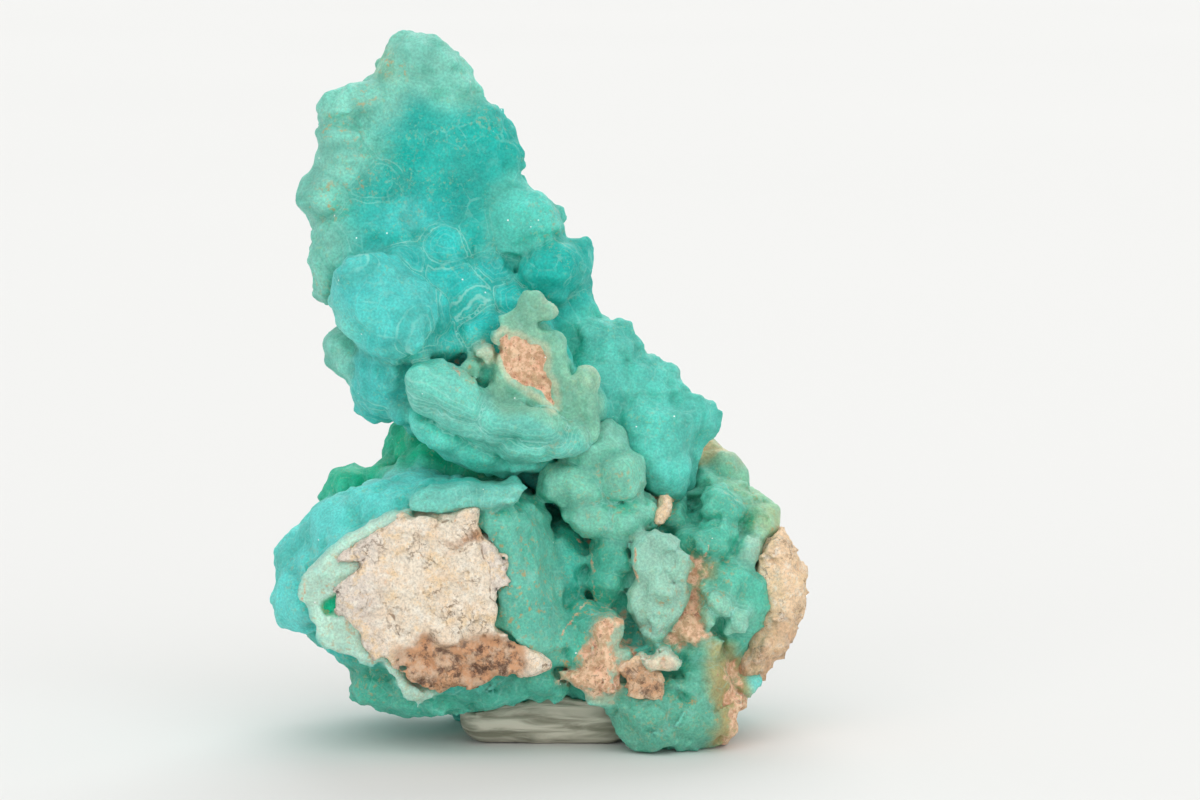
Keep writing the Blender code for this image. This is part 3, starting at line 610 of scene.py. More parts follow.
# %% The cluster on the right and the back
RIGHT_CLUSTER = [
    ("green2", 22, -4.0, 27.8, 2.7, 3.4, 2.7),
    ("green2", 20, -6.1, 24.4, 3.6, 3.8, 2.7), ("green2", 18.2, -2.5, 25.9, 1.7, 2.4, 1.9),
    ("green2", 16.5, -3.5, 27, 1.5, 2.4, 1.7), ("lime", 24.5, 1.5, 27.4, 4.3, 5, 2.9, -35),
    ("green2", 21.4, 3.5, 29.3, 3.8, 4.5, 2.2, -34), ("lime", 26.3, -1.0, 25.2, 2.6, 5.0, 3.2),
    ("chunk", 25, -6.1, 23, 1.8, 2.8, 1.9), ("green2", 21.9, -6.5, 19, 4, 5, 4),
    ("green2", 23.8, -5.9, 17, 3.8, 5, 4.5), ("ring", 21.8, -10.7, 17.7, 1.4, 2.2, 1.5),
    ("ring", 23.5, -9.9, 15.8, 1.5, 2.2, 1.7), ("ring", 20.4, -9.7, 16, 1.2, 2.2, 1.3),
    ("green2", 23.6, -6.5, 12.3, 1.9, 3.2, 2.4), ("tan", 18.7, -5.9, 19.2, 2.6, 4.2, 4.3),
    ("tan", 18.1, -6.5, 14.2, 3.6, 4.6, 3.6), ("green2", 19.1, -6.9, 11.3, 3.8, 4.6, 3.3),
    ("straw", 27.7, -1.0, 25.3, 1.1, 3.6, 1.8),
    ("straw", 19.5, 6.1, 32.1, 3.8, 3.2, 2.6, -35), ("sky", 24.8, -7.2, 7.5, 1.9, 2.6, 0.9),
]
BASE_BACK = [
    ("hind", -24.6, 6.5, 14.5, 5.3, 6.6, 5.3), ("hind", -19.4, 10.5, 21.5, 5.6, 6.4, 4.9),
    ("hind", -17, 10.5, 10.1, 6.8, 7, 6.1), ("hind", -9.5, 13.1, 17, 6.4, 5.6, 5.9),
    ("hind", -2.3, 12.5, 24.6, 5.4, 5, 4.4), ("hind", 19.7, 13.1, 12.1, 6.1, 5, 6.4),
    ("hind", 25, 9.5, 18.7, 4.6, 5.4, 5.1), ("hind", 12.3, 13.2, 24.5, 6.1, 4.6, 4.7),
    ("hind", 7.4, 8.5, 5.5, 7.6, 7, 4.6), ("hind", -4.7, 6.5, 4.6, 8, 7.6, 4.4),
    ("hind", 18.4, 6.5, 4.6, 5.6, 6, 4.1),
]
print("knobs at the right", len(RIGHT_CLUSTER), "and lumps behind", len(BASE_BACK))

# %% [markdown]
# The rock is broken, not grown, so its bare faces are slabs. The largest is the broken
# face in front. On it a brown zone runs along the bottom, a strip down the right side
# lies a little deeper, and one corner is rusty.

# %% The bare face of the rock
FRONT_FACE_OUTLINE = [
    (-23.1, 24), (-21.7, 25.4), (-20.4, 26.4), (-18.7, 27.5), (-16.9, 28.3), (-15.5, 29),
    (-14.8, 28.5), (-13.8, 29), (-12.1, 29.1), (-10.2, 29.3), (-9.4, 29.8), (-8.1, 30.4),
    (-6.9, 30.1), (-6.5, 28.1), (-5.3, 26.9), (-4.4, 25.4), (-3.4, 23.8), (-2.2, 21),
    (-4.4, 20.3), (-4.3, 18.2), (-4.6, 16), (-2.8, 15.0), (-1.4, 14.0), (0.4, 12.4), (1.1, 11.3),
    (-0.7, 10.4), (-2.6, 10.3), (-4.5, 9.3), (-7.2, 8.2), (-10.3, 7.7), (-11.4, 7.3),
    (-12.8, 7.7), (-15.4, 8.8), (-16.9, 11.6), (-17.2, 12.3), (-18, 12.8), (-19.3, 11.8),
    (-20.5, 13.7), (-21.1, 15.8), (-22.3, 17), (-23.2, 19.1), (-22.7, 20.8), (-23.8, 20.3),
    (-22.1, 21.9), (-20.8, 23.3), (-22.7, 23.8),
]
FRONT_FACE_SLAB = (FRONT_FACE_OUTLINE, -19.0, -3.5, 0.8, 0.0)
BROWN_ZONE = [
    (-16.5, 13.4), (-14.4, 13.8), (-13.4, 15.1), (-11.4, 14.2), (-9.3, 14.0), (-6.1, 14.9),
    (-2.4, 14.8), (-1.4, 13.2), (-1.4, 11.6), (-2.4, 10.0), (-4.5, 8.8), (-7.2, 7.5),
    (-10.3, 7), (-11.4, 7), (-14.5, 7.4), (-16.5, 10.6),
]
SIDE_STRIP = [
    (-6.8, 29.6), (-6.5, 28.1), (-5.3, 26.9), (-4.4, 25.4), (-3.4, 23.8), (-1.9, 21),
    (-4.9, 20.1), (-5.5, 21.2), (-6.1, 23.3), (-6.4, 25), (-6.8, 26.9),
]
RUST_CORNER = [
    (-10.4, 26.4), (-9, 26.4), (-8, 27.3), (-6.9, 28), (-6.2, 27.7), (-6.5, 26.6),
    (-7.8, 26.6), (-9, 25.9), (-10.1, 26),
]
print("corners of the bare face", len(FRONT_FACE_OUTLINE))

# %% [markdown]
# Rock also shows as a rusty chunk low in front, a small cream block at the upper right, a
# wall down the right side and a backing behind the leaning sheet. Plain lumps join them
# all inside, where nobody looks.

# %% The rest of the rock
RUSTY_CHUNK = [
    (9.5, 10.6), (10.7, 11.1), (11.9, 11.3), (13.3, 10.8), (14.5, 9.9), (15, 7.9), (14.8, 7),
    (14, 6.5), (12.4, 7.2), (10.7, 7.5), (10.7, 9.2),
]
CREAM_BLOCK = [
    (14.6, 30), (15.8, 30.1), (16.1, 29.5), (15.5, 27.6), (14.8, 26.6), (13.8, 26.4),
    (13.7, 27.1), (14.1, 28.8),
]
RIGHT_WALL_OUTLINE = [
    (28.9, 24.6), (29.9, 23.8), (30.8, 22.5), (31.7, 19.1), (31.6, 17.2), (29.9, 12.3),
    (27.1, 6.8), (24, 6.8), (23.9, 8.9), (26.3, 14), (27, 16.7), (25.6, 21.3), (26.3, 22.9),
    (27.6, 24.2),
]
RIGHT_WALL_SLAB = (RIGHT_WALL_OUTLINE, -8.5, 7.5, 2.2, 0.0)
BACKING_OUTLINE = [
    (-14.4, 82.0), (-11.4, 80.6), (-8.8, 75.6), (-3.9, 68.4), (1.2, 60.9), (4.2, 56.0),
    (7.4, 48.8), (12.7, 44.2), (19.6, 37.0), (20.1, 30.5), (18.3, 20.8), (7.4, 20.8),
    (-4.6, 35.4), (-16.6, 41.5), (-22.6, 53.6), (-23.1, 74), (-16.5, 78.8),
]
BACKING_SLAB = (BACKING_OUTLINE, 2.9, 7.7, 1.6, 0.05)
ROCK_LUMPS = [
    (0.2, 2.5, 15.9, 20.1, 9, 8), (7.4, 11.5, 19.8, 12.2, 6, 8.1, 10), (22, 2, 14.5, 9, 5, 6),
    (0.7, 12.5, 9.8, 13.3, 6.6, 6.7, -14), (12.3, 10.5, 11.3, 11.2, 7, 7.6, 20),
    (7.4, 6.5, 31.6, 9.1, 5, 12.1, -30), (-4.6, 7.3, 56.8, 5, 2.8, 9, -28),
    (-11.8, 6.9, 67.9, 7, 2.4, 9, -10), (-4.6, 7.5, 42.4, 10.1, 3, 8, -40),
]
ROCK_SLABS = [
    (BACKING_SLAB, 0.8), (FRONT_FACE_SLAB, 0.8), (RIGHT_WALL_SLAB, 0.8),
    ((RUSTY_CHUNK, -17.6, 6.0, 0.6, 0.0), 0.4), ((CREAM_BLOCK, -11.2, 8.0, 0.4, 0.0), 0.3),
]
print("rock slabs", len(ROCK_SLABS), "and lumps", len(ROCK_LUMPS))

# %% [markdown]
# The packed solids were moved a little so that the specimen stands on the origin. The
# same move goes into every mesh here. The putty tells how far: its block is drawn
# round PUTTY_MIDDLE, and the packed pad lies round the moved middle.

# %% From the drawing to the frame
MOVED = np.array([-0.1, 0.12, 0.0])
PUTTY_MIDDLE = (1.0, -0.5, 3.6)
PUTTY_HALF = (10.3, 9.0, 3.6)
low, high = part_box("display_putty")
print("putty pad lies", round((low[0] + high[0]) / 2 / MM - PUTTY_MIDDLE[0], 2),
      "mm off its drawn middle, moved by", MOVED[0])

# %% [markdown]
# Cracks run over the bare face along drawn lines. A drawn line or outline is too clean for
# broken rock, so points are pushed about a little before their distance to it is asked.
# That makes its edge ragged.

# %% Cracks and ragged edges
CRACKS = [
    [(-7, 29.8), (-6.5, 27.5), (-6.3, 24.8), (-5.4, 20.6), (-4.6, 18.1), (-4.5, 15.4)],
    [(-10.4, 26.1), (-9, 25.1), (-7.4, 26.5), (-6.5, 27.3)],
    [(-12.3, 27.9), (-11.2, 28.1), (-9.8, 28.8)], [(-22.1, 22.8), (-21.2, 23.6), (-20.1, 24)],
    [(-18.6, 20.7), (-17.9, 19.4), (-17, 17.7), (-16.6, 16.7), (-16.1, 14.8)],
    [(26.5, 15.9), (27.9, 16.1), (30.6, 16.4)],
    [(11.0, 10.6), (12.2, 9.6), (13.4, 9.9), (14.3, 8.6)], [(6.6, 13.6), (8.1, 12.2), (8.4, 10.2)],
]
RAGGED_SIZE, RAGGED_PUSH = 1.8, 0.42
RAGGED_NEAR = 1.8
CRACK_NEAR = 2.5
CRACKS_FRONT = -3.0
NO_CRACK = 9.0


def line_gap(points, line):
    """Distance in the front view from a broken line."""
    nearest = np.full(len(points), FAR)
    for (ax, az), (bx, bz) in zip(line, line[1:]):
        run, rise = bx - ax, bz - az
        along = ((points[:, 0] - ax) * run + (points[:, 2] - az) * rise) / (run * run + rise * rise)
        along = np.clip(along, 0, 1)
        away = np.hypot(points[:, 0] - ax - along * run, points[:, 2] - az - along * rise)
        nearest = np.minimum(nearest, away)
    return nearest


def wavy(points):
    """The same points, pushed about a little so that drawn lines come out ragged."""
    push = [layered(points, RAGGED_SIZE, 300 + axis, 4) * RAGGED_PUSH for axis in range(3)]
    return points + np.stack(push, axis=1)


def in_outline(points, outline):
    """How far inside a front-view outline each point is, in millimetres."""
    return -outline_gap(points[:, 0], points[:, 2], outline)


def crack_gap(points):
    """Distance to the nearest crack, far away at the back."""
    nearest = np.min([line_gap(points, line) for line in CRACKS], axis=0)
    close = nearest < CRACK_NEAR
    bent = wavy(points[close])
    nearest[close] = np.min([line_gap(bent, line) for line in CRACKS], axis=0)
    return np.where(points[:, 1] < CRACKS_FRONT, nearest, NO_CRACK)


def inside_of(points, outline, edge):
    """1 well inside a ragged front-view outline, 0 outside, over an edge this wide."""
    inside = in_outline(points, outline)
    near = np.abs(inside) < RAGGED_NEAR
    inside[near] = in_outline(wavy(points[near]), outline)
    return np.clip(inside / edge + 0.5, 0, 1)


print("a millimetre inside the rusty chunk counts as",
      inside_of(np.array([[12.0, 0.0, 9.0]]), RUSTY_CHUNK, 0.8).round(2)[0])

# %% [markdown]
# Broken rock has flat facets with small steps between them. To get them, space is filled
# with seeds at random places, each with a random slope. Every point looks for its nearest
# seed among the cells round it, and takes that seed's slope.

# %% Chips of broken rock
CHIP_SLOPE, CHIP_STEP = 1.6, 0.7
CHIP_SEED, CHIP_STEPS = 7919, 4096


def chipped(points, size, seed):
    """Facets about this big: every spot takes the slope of its nearest seed."""
    scaled = points / size + 500.0
    base = np.floor(scaled).astype(np.int64)
    best, value = np.full(len(points), FAR), np.zeros(len(points))
    for number in range(27):
        cell = base + np.array([number % 3 - 1, number // 3 % 3 - 1, number // 9 - 1])
        key = cell @ MIX_AXES + seed * CHIP_SEED
        random = []
        for turn in range(6):
            key = (key ^ (key >> 13)) * MIX_ONE & LARGEST
            random.append((key ^ (key >> 15)) % CHIP_STEPS / CHIP_STEPS)
        middle = cell + np.stack(random[:3], axis=1)
        offset = scaled - middle
        away = (offset ** 2).sum(axis=1)
        tilt = np.stack(random[3:], axis=1) - 0.5
        nearer = away < best
        best = np.where(nearer, away, best)
        chip = CHIP_SLOPE * (offset * tilt).sum(axis=1) + CHIP_STEP * tilt[:, 0]
        value = np.where(nearer, chip, value)
    return value


print("three points on chips of 4 mm", chipped(np.eye(3) * 9.0, 4.0, 1).round(2))

# %% [markdown]
# Now the rock itself: its slabs and lumps, then chips of several sizes. The brown zone
# and the side strip lie deeper. Cracks, fissures and pits are cut in, the brown zone and
# the stone at the right get crumbs, and the right wall gets chips of its own. All the
# sizes and depths here are in millimetres.

# %% Shape the rock
ROCK_LOW, ROCK_HIGH = (-31, -22, 0), (34, 21, 85)
FACE_FRONT = -13.0
FACE_RIGHT = 2.0
BIG_CHIPS, CHIPS, CRUMBS = 4.6, 1.9, 1.5
CRACK_DEPTH, CRACK_HALF = 0.45, 0.40
FISSURE_DEPTH, FISSURE_HALF = 0.40, 0.10
PIT_DEPTH, PIT_SIZE = 0.9, 0.9
WALL_FROM, WALL_CHIPS, WALL_DEPTH = 23.0, 3.0, 0.75
CHANGED_WITHIN = 1.9


def break_up(space):
    """Chip, crack and pit the rock's skin."""
    close, points = space.near_skin(CHANGED_WITHIN)
    x, y, z = points.T
    gap = space.gap[close]
    face = np.clip((FACE_FRONT - y) / 2, 0, 1) * np.clip((FACE_RIGHT - x) / 1.5, 0, 1)
    gap += (0.85 - 0.4 * face) * chipped(points, BIG_CHIPS, 11)
    gap += 0.35 * chipped(points, CHIPS, 12)
    gap += 0.16 * layered(points, 1.5, 21, 2) + 0.50 * face * layered(points, 5.0, 22, 2)
    brown = inside_of(points, BROWN_ZONE, 0.7) * (y < FACE_FRONT)
    gap += brown * (0.8 + 0.50 * layered(points, 1.5, 23, 2))
    gap += 0.55 * inside_of(points, SIDE_STRIP, 0.3) * (y < FACE_FRONT)
    gap += CRACK_DEPTH * np.clip(1 - crack_gap(points) / CRACK_HALF, 0, 1)
    fissure = np.abs(layered(points, 3.4, 27, 3)) + 0.25 * np.clip(noise(points, 4.0, 28), 0, 1)
    gap += FISSURE_DEPTH * np.clip(1 - fissure / FISSURE_HALF, 0, 1) * (1 - 0.5 * face)
    crumbly = np.maximum(brown, 0.65 * np.clip((x - FACE_RIGHT) / 2, 0, 1))
    lumpy = 0.8 * np.clip(noise(points, 1.4, 26) - 0.3, 0, 1)
    gap += crumbly * (0.5 * chipped(points, CRUMBS, 25) + lumpy)
    gap += WALL_DEPTH * np.clip((x - WALL_FROM) / 2, 0, 1) * chipped(points, WALL_CHIPS, 13)
    gap += PIT_DEPTH * np.clip(noise(points, PIT_SIZE, 24) - 0.45, 0, 1)
    space.gap[close] = gap


ROCK_CELL = 0.43
rock = Space(ROCK_LOW, ROCK_HIGH, ROCK_CELL)
for slab, crease in ROCK_SLABS:
    lay_slab(rock, slab, crease)
for row in ROCK_LUMPS:
    grow(rock, [row], 0.5, 1.0)
break_up(rock)
rock_points, rock_faces = skin(rock)
print("rock skin", len(rock_points), "vertices", 2 * len(rock_faces), "triangles")

# %% [markdown]
# The growth is in two pieces that meet in the deep crease above the base. Each starts
# from the quiet shapes. Lumps that belong together, such as those of one roll, first
# melt into one body, and every body then meets its neighbours in a narrow crease. A body
# is its lumps, how softly they melt together and how soft its crease is, in millimetres.

# %% The bodies of the growth
def singles(rows, crease):
    """Bodies of one lump each."""
    return [([row], 0.5, crease) for row in rows]


SHEET_BODIES = singles(SHEET_EDGE, 1.6) + [(BIG_LOBE, 2.5, 2.2)] + singles(SHEET_FACE, 1.3)
SHEET_BODIES += singles(SHEET_RIGHT, 1.2) + singles(SHEET_BACK_EDGE, 1.2)
SHEET_BODIES += singles(UNDER_ROLLS, 0.8)
SHEET_BODIES += [(ROLL_BAND, 1.5, 0.4), (ROLL_LEFT, 1.4, 0.35), (ROLL_RIGHT, 1.4, 0.35)]
SHEET_BODIES += singles(FIN_LUMPS, 0.4)
BASE_BODIES = singles(COLUMN, 0.9) + [(DOME, 3.0, 0.6)] + singles(BESIDE_DOME, 0.8)
BASE_BODIES += singles(LEFT_LUMPS, 1.2) + singles(GREEN_LUMPS, 0.6) + singles(UNDERSIDE, 0.8)
BASE_BODIES += [(FOOT, 1.6, 0.6), (LEAF, 1.2, 0.3)] + singles(RIGHT_CLUSTER, 0.5)
BASE_BODIES += singles(BASE_BACK, 1.2)
print("bodies of the sheet", len(SHEET_BODIES), "and of the base", len(BASE_BODIES))

# %% [markdown]
# The bodies go into a block of sampled space, the sheet's first. The quiet shapes are kept
# apart as well: the colours need to know where a body ends and the quiet shape shows.

# %% Grow the sheet
def growth_space(low_corner, high_corner, cell, bulk, bodies, slabs):
    """The growth sampled between two corners, and its quiet shapes alone."""
    space = Space(low_corner, high_corner, cell)
    space.bend_space(101)
    for row in bulk:
        grow(space, [row], 0.5, 2.0)
    for slab, crease in slabs:
        lay_slab(space, slab, crease)
    quiet = Space(low_corner, high_corner, cell)
    quiet.gap = space.gap.copy()
    for rows, softness, crease in bodies:
        grow(space, [row[1:] for row in rows], softness, crease)
    return space, quiet


SHEET_LOW, SHEET_HIGH = (-29, -19, 21), (23, 13, 86)
CELL = 0.36
sheet, sheet_quiet = growth_space(SHEET_LOW, SHEET_HIGH, CELL, SHEET_BULK, SHEET_BODIES,
                                  [(SHEET_SLAB, 2.0)] + FIN_SLABS)
print("samples in the sheet", sheet.gap.size)

# %% [markdown]
# Back, sides and rims also carry knobs that the drawing does not list one by one. They
# are scattered by chance with a fixed seed: large soft ones behind, fine beads on rims.
# Small ones are likelier than large ones, and none lands on the bare rock.

# %% Scatter knobs and beads
ROCK_CLEAR = 0.8


def scatter(space, how_many, smallest, largest, crease, where, seed):
    """Lumps at random spots of the skin, as likely as `where` says."""
    chance = np.random.default_rng(seed)
    coarse = Space(space.low, space.low + 1.0, space.cell * 2)
    coarse.gap = space.gap[::2, ::2, ::2]
    points, faces = skin(coarse)
    facing = slopes(space, points)
    weight = where(points, facing) * (sampled(rock, points) > ROCK_CLEAR)
    picked = chance.choice(len(points), how_many, replace=False, p=weight / weight.sum())
    bodies = []
    for index in picked:
        radius = smallest + (largest - smallest) * chance.random() ** 1.6
        middle = points[index] - facing[index] * radius * chance.uniform(0.70, 0.95)
        row = (None, *middle, *(chance.uniform(0.85, 1.25, 3) * radius))
        bodies.append(([row], 0.5, crease))
        grow(space, [row[1:]], 0.5, crease)
    return bodies


def behind(points, facing):
    """Likely on skins that face back, a little on those that face sideways or up."""
    return np.clip(facing[:, 1] + 0.08, 0, 1) * (points[:, 1] > -2)


def on_rims(points, facing):
    """Likely where the skin turns away from the front."""
    return np.clip(1 - 1.6 * np.abs(facing[:, 1]), 0, 1) * (points[:, 1] > -6) + 1e-6


SHEET_BODIES += scatter(sheet, how_many=70, smallest=1.6, largest=3.2, crease=0.9,
                        where=behind, seed=5)
SHEET_BODIES += scatter(sheet, how_many=150, smallest=0.5, largest=0.9, crease=0.4,
                        where=on_rims, seed=6)
print("bodies of the sheet with the scattered ones", len(SHEET_BODIES))

# %% [markdown]
# The base grows in the same way on a slightly coarser grid, because it is wider and its
# lumps are larger. Its plates are laid once its bodies are there.

# %% Grow the base
BASE_LOW, BASE_HIGH = (-33, -21, -1), (31, 21, 40)
BASE_COARSER = 1.12
PLATE_CREASE = 0.4
base, base_quiet = growth_space(BASE_LOW, BASE_HIGH, CELL * BASE_COARSER, BASE_BULK,
                                BASE_BODIES, [])
for kind, outline, front, back, rounding in BASE_PLATES:
    lay_slab(base, (outline, front, back, rounding, 0.0), PLATE_CREASE)
BASE_BODIES += scatter(base, how_many=130, smallest=1.8, largest=3.6, crease=0.9,
                       where=behind, seed=7)
BASE_BODIES += scatter(base, how_many=120, smallest=0.6, largest=1.1, crease=0.4,
                       where=on_rims, seed=8)
print("samples in the base", base.gap.size)
print("bodies of the base with the scattered ones", len(BASE_BODIES))

# %% [markdown]
# Some of the growth is cut away again. The fin carries a patch of bare rock, and the pale
# band a small pocket: both are sunk in with a ragged floor. A window is opened in front of
# the bare rock face. The growth keeps a lip over the rock's edge, so that no gap shows.
# Last, two dark pockets are dug between lumps, as a Boolean modifier would do it.

# %% Cut into the growth
LIP = 0.35
BAND_DEPTH = 1.1
FIN_DEPTH = 0.5
FIN_FRONT = -8.5
BAND_FRONT = -12.0
WINDOW_FRONT = -16.2
POCKETS = [(18.7, -4.0, 28.5, 1.5, 5.0, 1.2), (-16.9, 3.0, 30.6, 0.9, 4.0, 1.5)]


def sink_patch(space, outline, front, depth):
    """Push the skin in, raggedly, within an outline drawn from the front."""
    close, points = space.near_skin(1.5)
    inside = inside_of(points, outline, 0.5) * (points[:, 1] < front)
    ragged = 0.25 * layered(points, 1.2, 91) + 0.5 * np.clip(noise(points, 0.8, 92) - 0.3, 0, 1)
    space.gap[close] += inside * (depth + ragged)


def open_window(space, outline, front):
    """Take away all growth in front of a depth inside an outline drawn from the front."""
    x, y, z = space.axes()
    across = outline_gap(x[:, None], z[None, :], outline)[:, None, :] + LIP
    cut = np.maximum(across, (y - front)[None, :, None])
    space.gap = np.maximum(space.gap, -cut).astype(np.float32)


def dig(space, lump):
    """Hollow out a pocket the shape of one lump."""
    box, x, y, z = space.part(np.array(lump[:3]), max(lump[3:6]) + 1.0)
    space.gap[box] = np.maximum(space.gap[box], -lump_gap(x, y, z, lump))


full = int((base.gap < 0).sum())
sink_patch(sheet, FIN_ROCK_OUTLINE, FIN_FRONT, FIN_DEPTH)
sink_patch(base, BAND_POCKET, BAND_FRONT, BAND_DEPTH)
open_window(base, FRONT_FACE_OUTLINE, WINDOW_FRONT)
for pocket in POCKETS:
    dig(base, pocket)
print("cut from the base", full - int((base.gap < 0).sum()), "samples of", full)

# %% [markdown]
# Not all of the growth is smooth. The fin, the foot and the right side have small flat
# facets, and the leaf has fine upright ribs. A box of facets is given by two opposite
# corners, the size of a facet and its depth.

# %% Facets and ribs
FIN_FACETS = ((-9.5, -14.0, 37.0), (8.5, -9.5, 56.0), 1.7, 0.28, 61)
BASE_FACETS = {
    "foot": ((7.0, -18.0, -2.0), (27.0, 0.0, 11.0), 2.8, 1.0, 62),
    "right side": ((9.0, -16.0, 11.0), (29.0, 4.0, 32.0), 2.0, 0.60, 63),
    "low mass": ((1.0, -18.0, 5.0), (17.0, -7.0, 17.5), 1.6, 0.40, 66),
    "underside": ((-20.0, -18.0, 3.0), (8.0, -4.0, 11.0), 2.6, 0.55, 64),
    "pale band": ((-30.0, -19.0, 10.0), (-13.0, -14.0, 32.0), 2.0, 0.20, 65),
}
LEAF_FRONT, RIB_DEPTH, RIB_WIDTH = -10.0, 0.22, 0.9
ALONG_RIB = [1.0, 0.6, 0.16]


def facet(space, low, high, size, depth, seed):
    """Give the skin between two corners flat chipped facets."""
    close, points = space.near_skin(3 * depth + 1.0)
    within = np.clip(np.minimum(points - low, high - points).min(axis=1) / 1.5, 0, 1)
    chips = within > 0
    within[chips] *= chipped(points[chips], size, seed)
    space.gap[close] += depth * within


def rib(space, outline, front, depth):
    """Fine upright ribs inside an outline drawn from the front."""
    close, points = space.near_skin(1.0)
    within = inside_of(points, outline, 0.6) * (points[:, 1] < front)
    ribs = within > 0
    within[ribs] *= noise(points[ribs] * ALONG_RIB, RIB_WIDTH, 71)
    space.gap[close] += depth * within


facet(sheet, *FIN_FACETS)
for place, chips in BASE_FACETS.items():
    facet(base, *chips)
    print("facets on the", place)
rib(base, LEAF_PLATE, LEAF_FRONT, RIB_DEPTH)

# %% [markdown]
# Then all the growth gets gentle unevenness a few millimetres wide, low round bumps that
# meet in sharp little valleys, and a fine sugary grain. The bumps come from noise whose
# negative half is folded up. The top of the sheet is calmer than the rest. Last, all
# that would lie under the floor is cut off.

# %% Roughen the growth
CALM_OUTLINE = [(-18, 78), (-9, 78), (-3, 68), (-2, 62), (-10, 58), (-16, 63), (-21, 70)]
CALM_ABOVE = 50


def level_below(space):
    """Cut everything off at the floor."""
    height = space.axes()[2]
    space.gap = np.maximum(space.gap, -height[None, None, :]).astype(np.float32)


def knobble(space, size, depth, seed):
    """Cover the skin with low round bumps that meet in sharp little valleys."""
    close, points = space.near_skin(3 * depth + 2 * space.cell)
    calm = np.clip(in_outline(points, CALM_OUTLINE) / 3.0, 0, 0.75) * (points[:, 2] > CALM_ABOVE)
    space.gap[close] -= (1 - calm) * depth * (2.6 * np.abs(noise(points, size, seed)) - 0.6)


for seed, space in ((31, sheet), (32, base)):
    roughen(space, size=3.4, depth=0.16, seed=seed, layers=2)
    knobble(space, size=2.8, depth=0.26, seed=seed + 20)
    knobble(space, size=1.4, depth=0.16, seed=seed + 40)
    roughen(space, size=1.0, depth=0.09, seed=seed + 10, layers=2)
    level_below(space)
    print("grid", space.gap.shape)

# %% [markdown]
# Colour follows growth. Each kind has its own tint, given as linear red, green and blue.
# Some kinds are outlined: a pale line runs along their creases, and the clearer it is, the
# more their skin shows the layers that it grew in.

# %% The tint of each kind
KINDS = {
    "pale": (0.245, 0.620, 0.510), "cream": (0.380, 0.610, 0.410), "teal": (0.010, 0.460, 0.405),
    "blue": (0.088, 0.600, 0.570), "ridge": (0.175, 0.600, 0.500), "fin": (0.270, 0.560, 0.400),
    "dome": (0.145, 0.520, 0.400), "deep": (0.080, 0.540, 0.430), "rim": (0.200, 0.590, 0.500),
    "green": (0.000, 0.480, 0.265), "under": (0.090, 0.460, 0.340), "foot": (0.145, 0.460, 0.335),
    "tan": (0.430, 0.350, 0.190), "leaf": (0.340, 0.600, 0.480), "green2": (0.100, 0.500, 0.370),
    "chunk": (0.400, 0.640, 0.510), "ring": (0.340, 0.630, 0.480), "hind": (0.070, 0.480, 0.400),
    "below": (0.130, 0.680, 0.570), "mid": (0.120, 0.590, 0.500), "column": (0.230, 0.590, 0.450),
    "sky": (0.150, 0.680, 0.640), "band": (0.600, 0.790, 0.660), "plate": (0.290, 0.640, 0.530),
    "azure": (0.030, 0.560, 0.530), "chalk": (0.640, 0.620, 0.440), "lime": (0.290, 0.560, 0.350),
    "straw": (0.760, 0.600, 0.330), "peach": (0.440, 0.520, 0.380), "shell": (0.840, 0.660, 0.500),
    "olive": (0.460, 0.360, 0.150),
}
ROCKY = ("tan",)
OUTLINED = {"ridge": 1.0, "rim": 0.9, "leaf": 0.8, "ring": 1.0, "blue": 0.8, "azure": 0.9,
            "column": 0.5, "band": 0.6, "teal": 0.45, "pale": 0.3}
FAINTLY_OUTLINED = 0.12
print("kinds of growth", len(KINDS), "of which outlined", len(OUTLINED))

# %% [markdown]
# Iron has stained the growth, mostly along its rims and beside the rock. Each stain is a
# spot in the front view: its x, its height, its reach and its strength. Thin seams of bare
# rock and a few brownish patches are drawn as lines and outlines. Where the growth lies
# thin over the rock, the stain comes through by itself.

# %% Seams, patches and stains
SEAMS = [
    [(4.7, 24.9), (6.1, 24.2), (6.7, 22.7), (6.7, 20.8), (6.9, 18.6), (5.7, 17.6), (4, 16.6),
     (3.3, 14.7), (2.5, 14.1)],
    [(11.6, 24.6), (11.3, 22.6), (11.8, 20.6)], [(20.6, 24.2), (20.2, 23.1)],
    [(-26.9, 20.9), (-27.6, 19.4), (-27.9, 18.4)], [(-8.6, 45.2), (-9.6, 46.0)],
]
OLIVE_SIDE = [
    (19.8, 13.5), (23, 12.5), (24.8, 9), (25.6, 6.4), (24.5, 3), (22.5, 0), (20.4, 0), (21.2, 4.5),
    (20.2, 9),
]
TAN_PATCHES = [
    [(18.2, 22.2), (19.6, 22.7), (21.1, 22.2), (20.8, 20.8), (19.6, 20.3), (19.9, 17.8),
     (19.6, 15.4), (18.7, 13.5), (17, 13.2), (16.7, 14.4), (18.2, 16.4), (18.4, 18.8),
     (18.1, 20.3)],
    [(21.2, 9.4), (22.6, 10.9), (24.2, 9.8), (25.4, 6.6), (24.6, 4.2), (23.2, 5.2), (23.0, 7.6)],
]
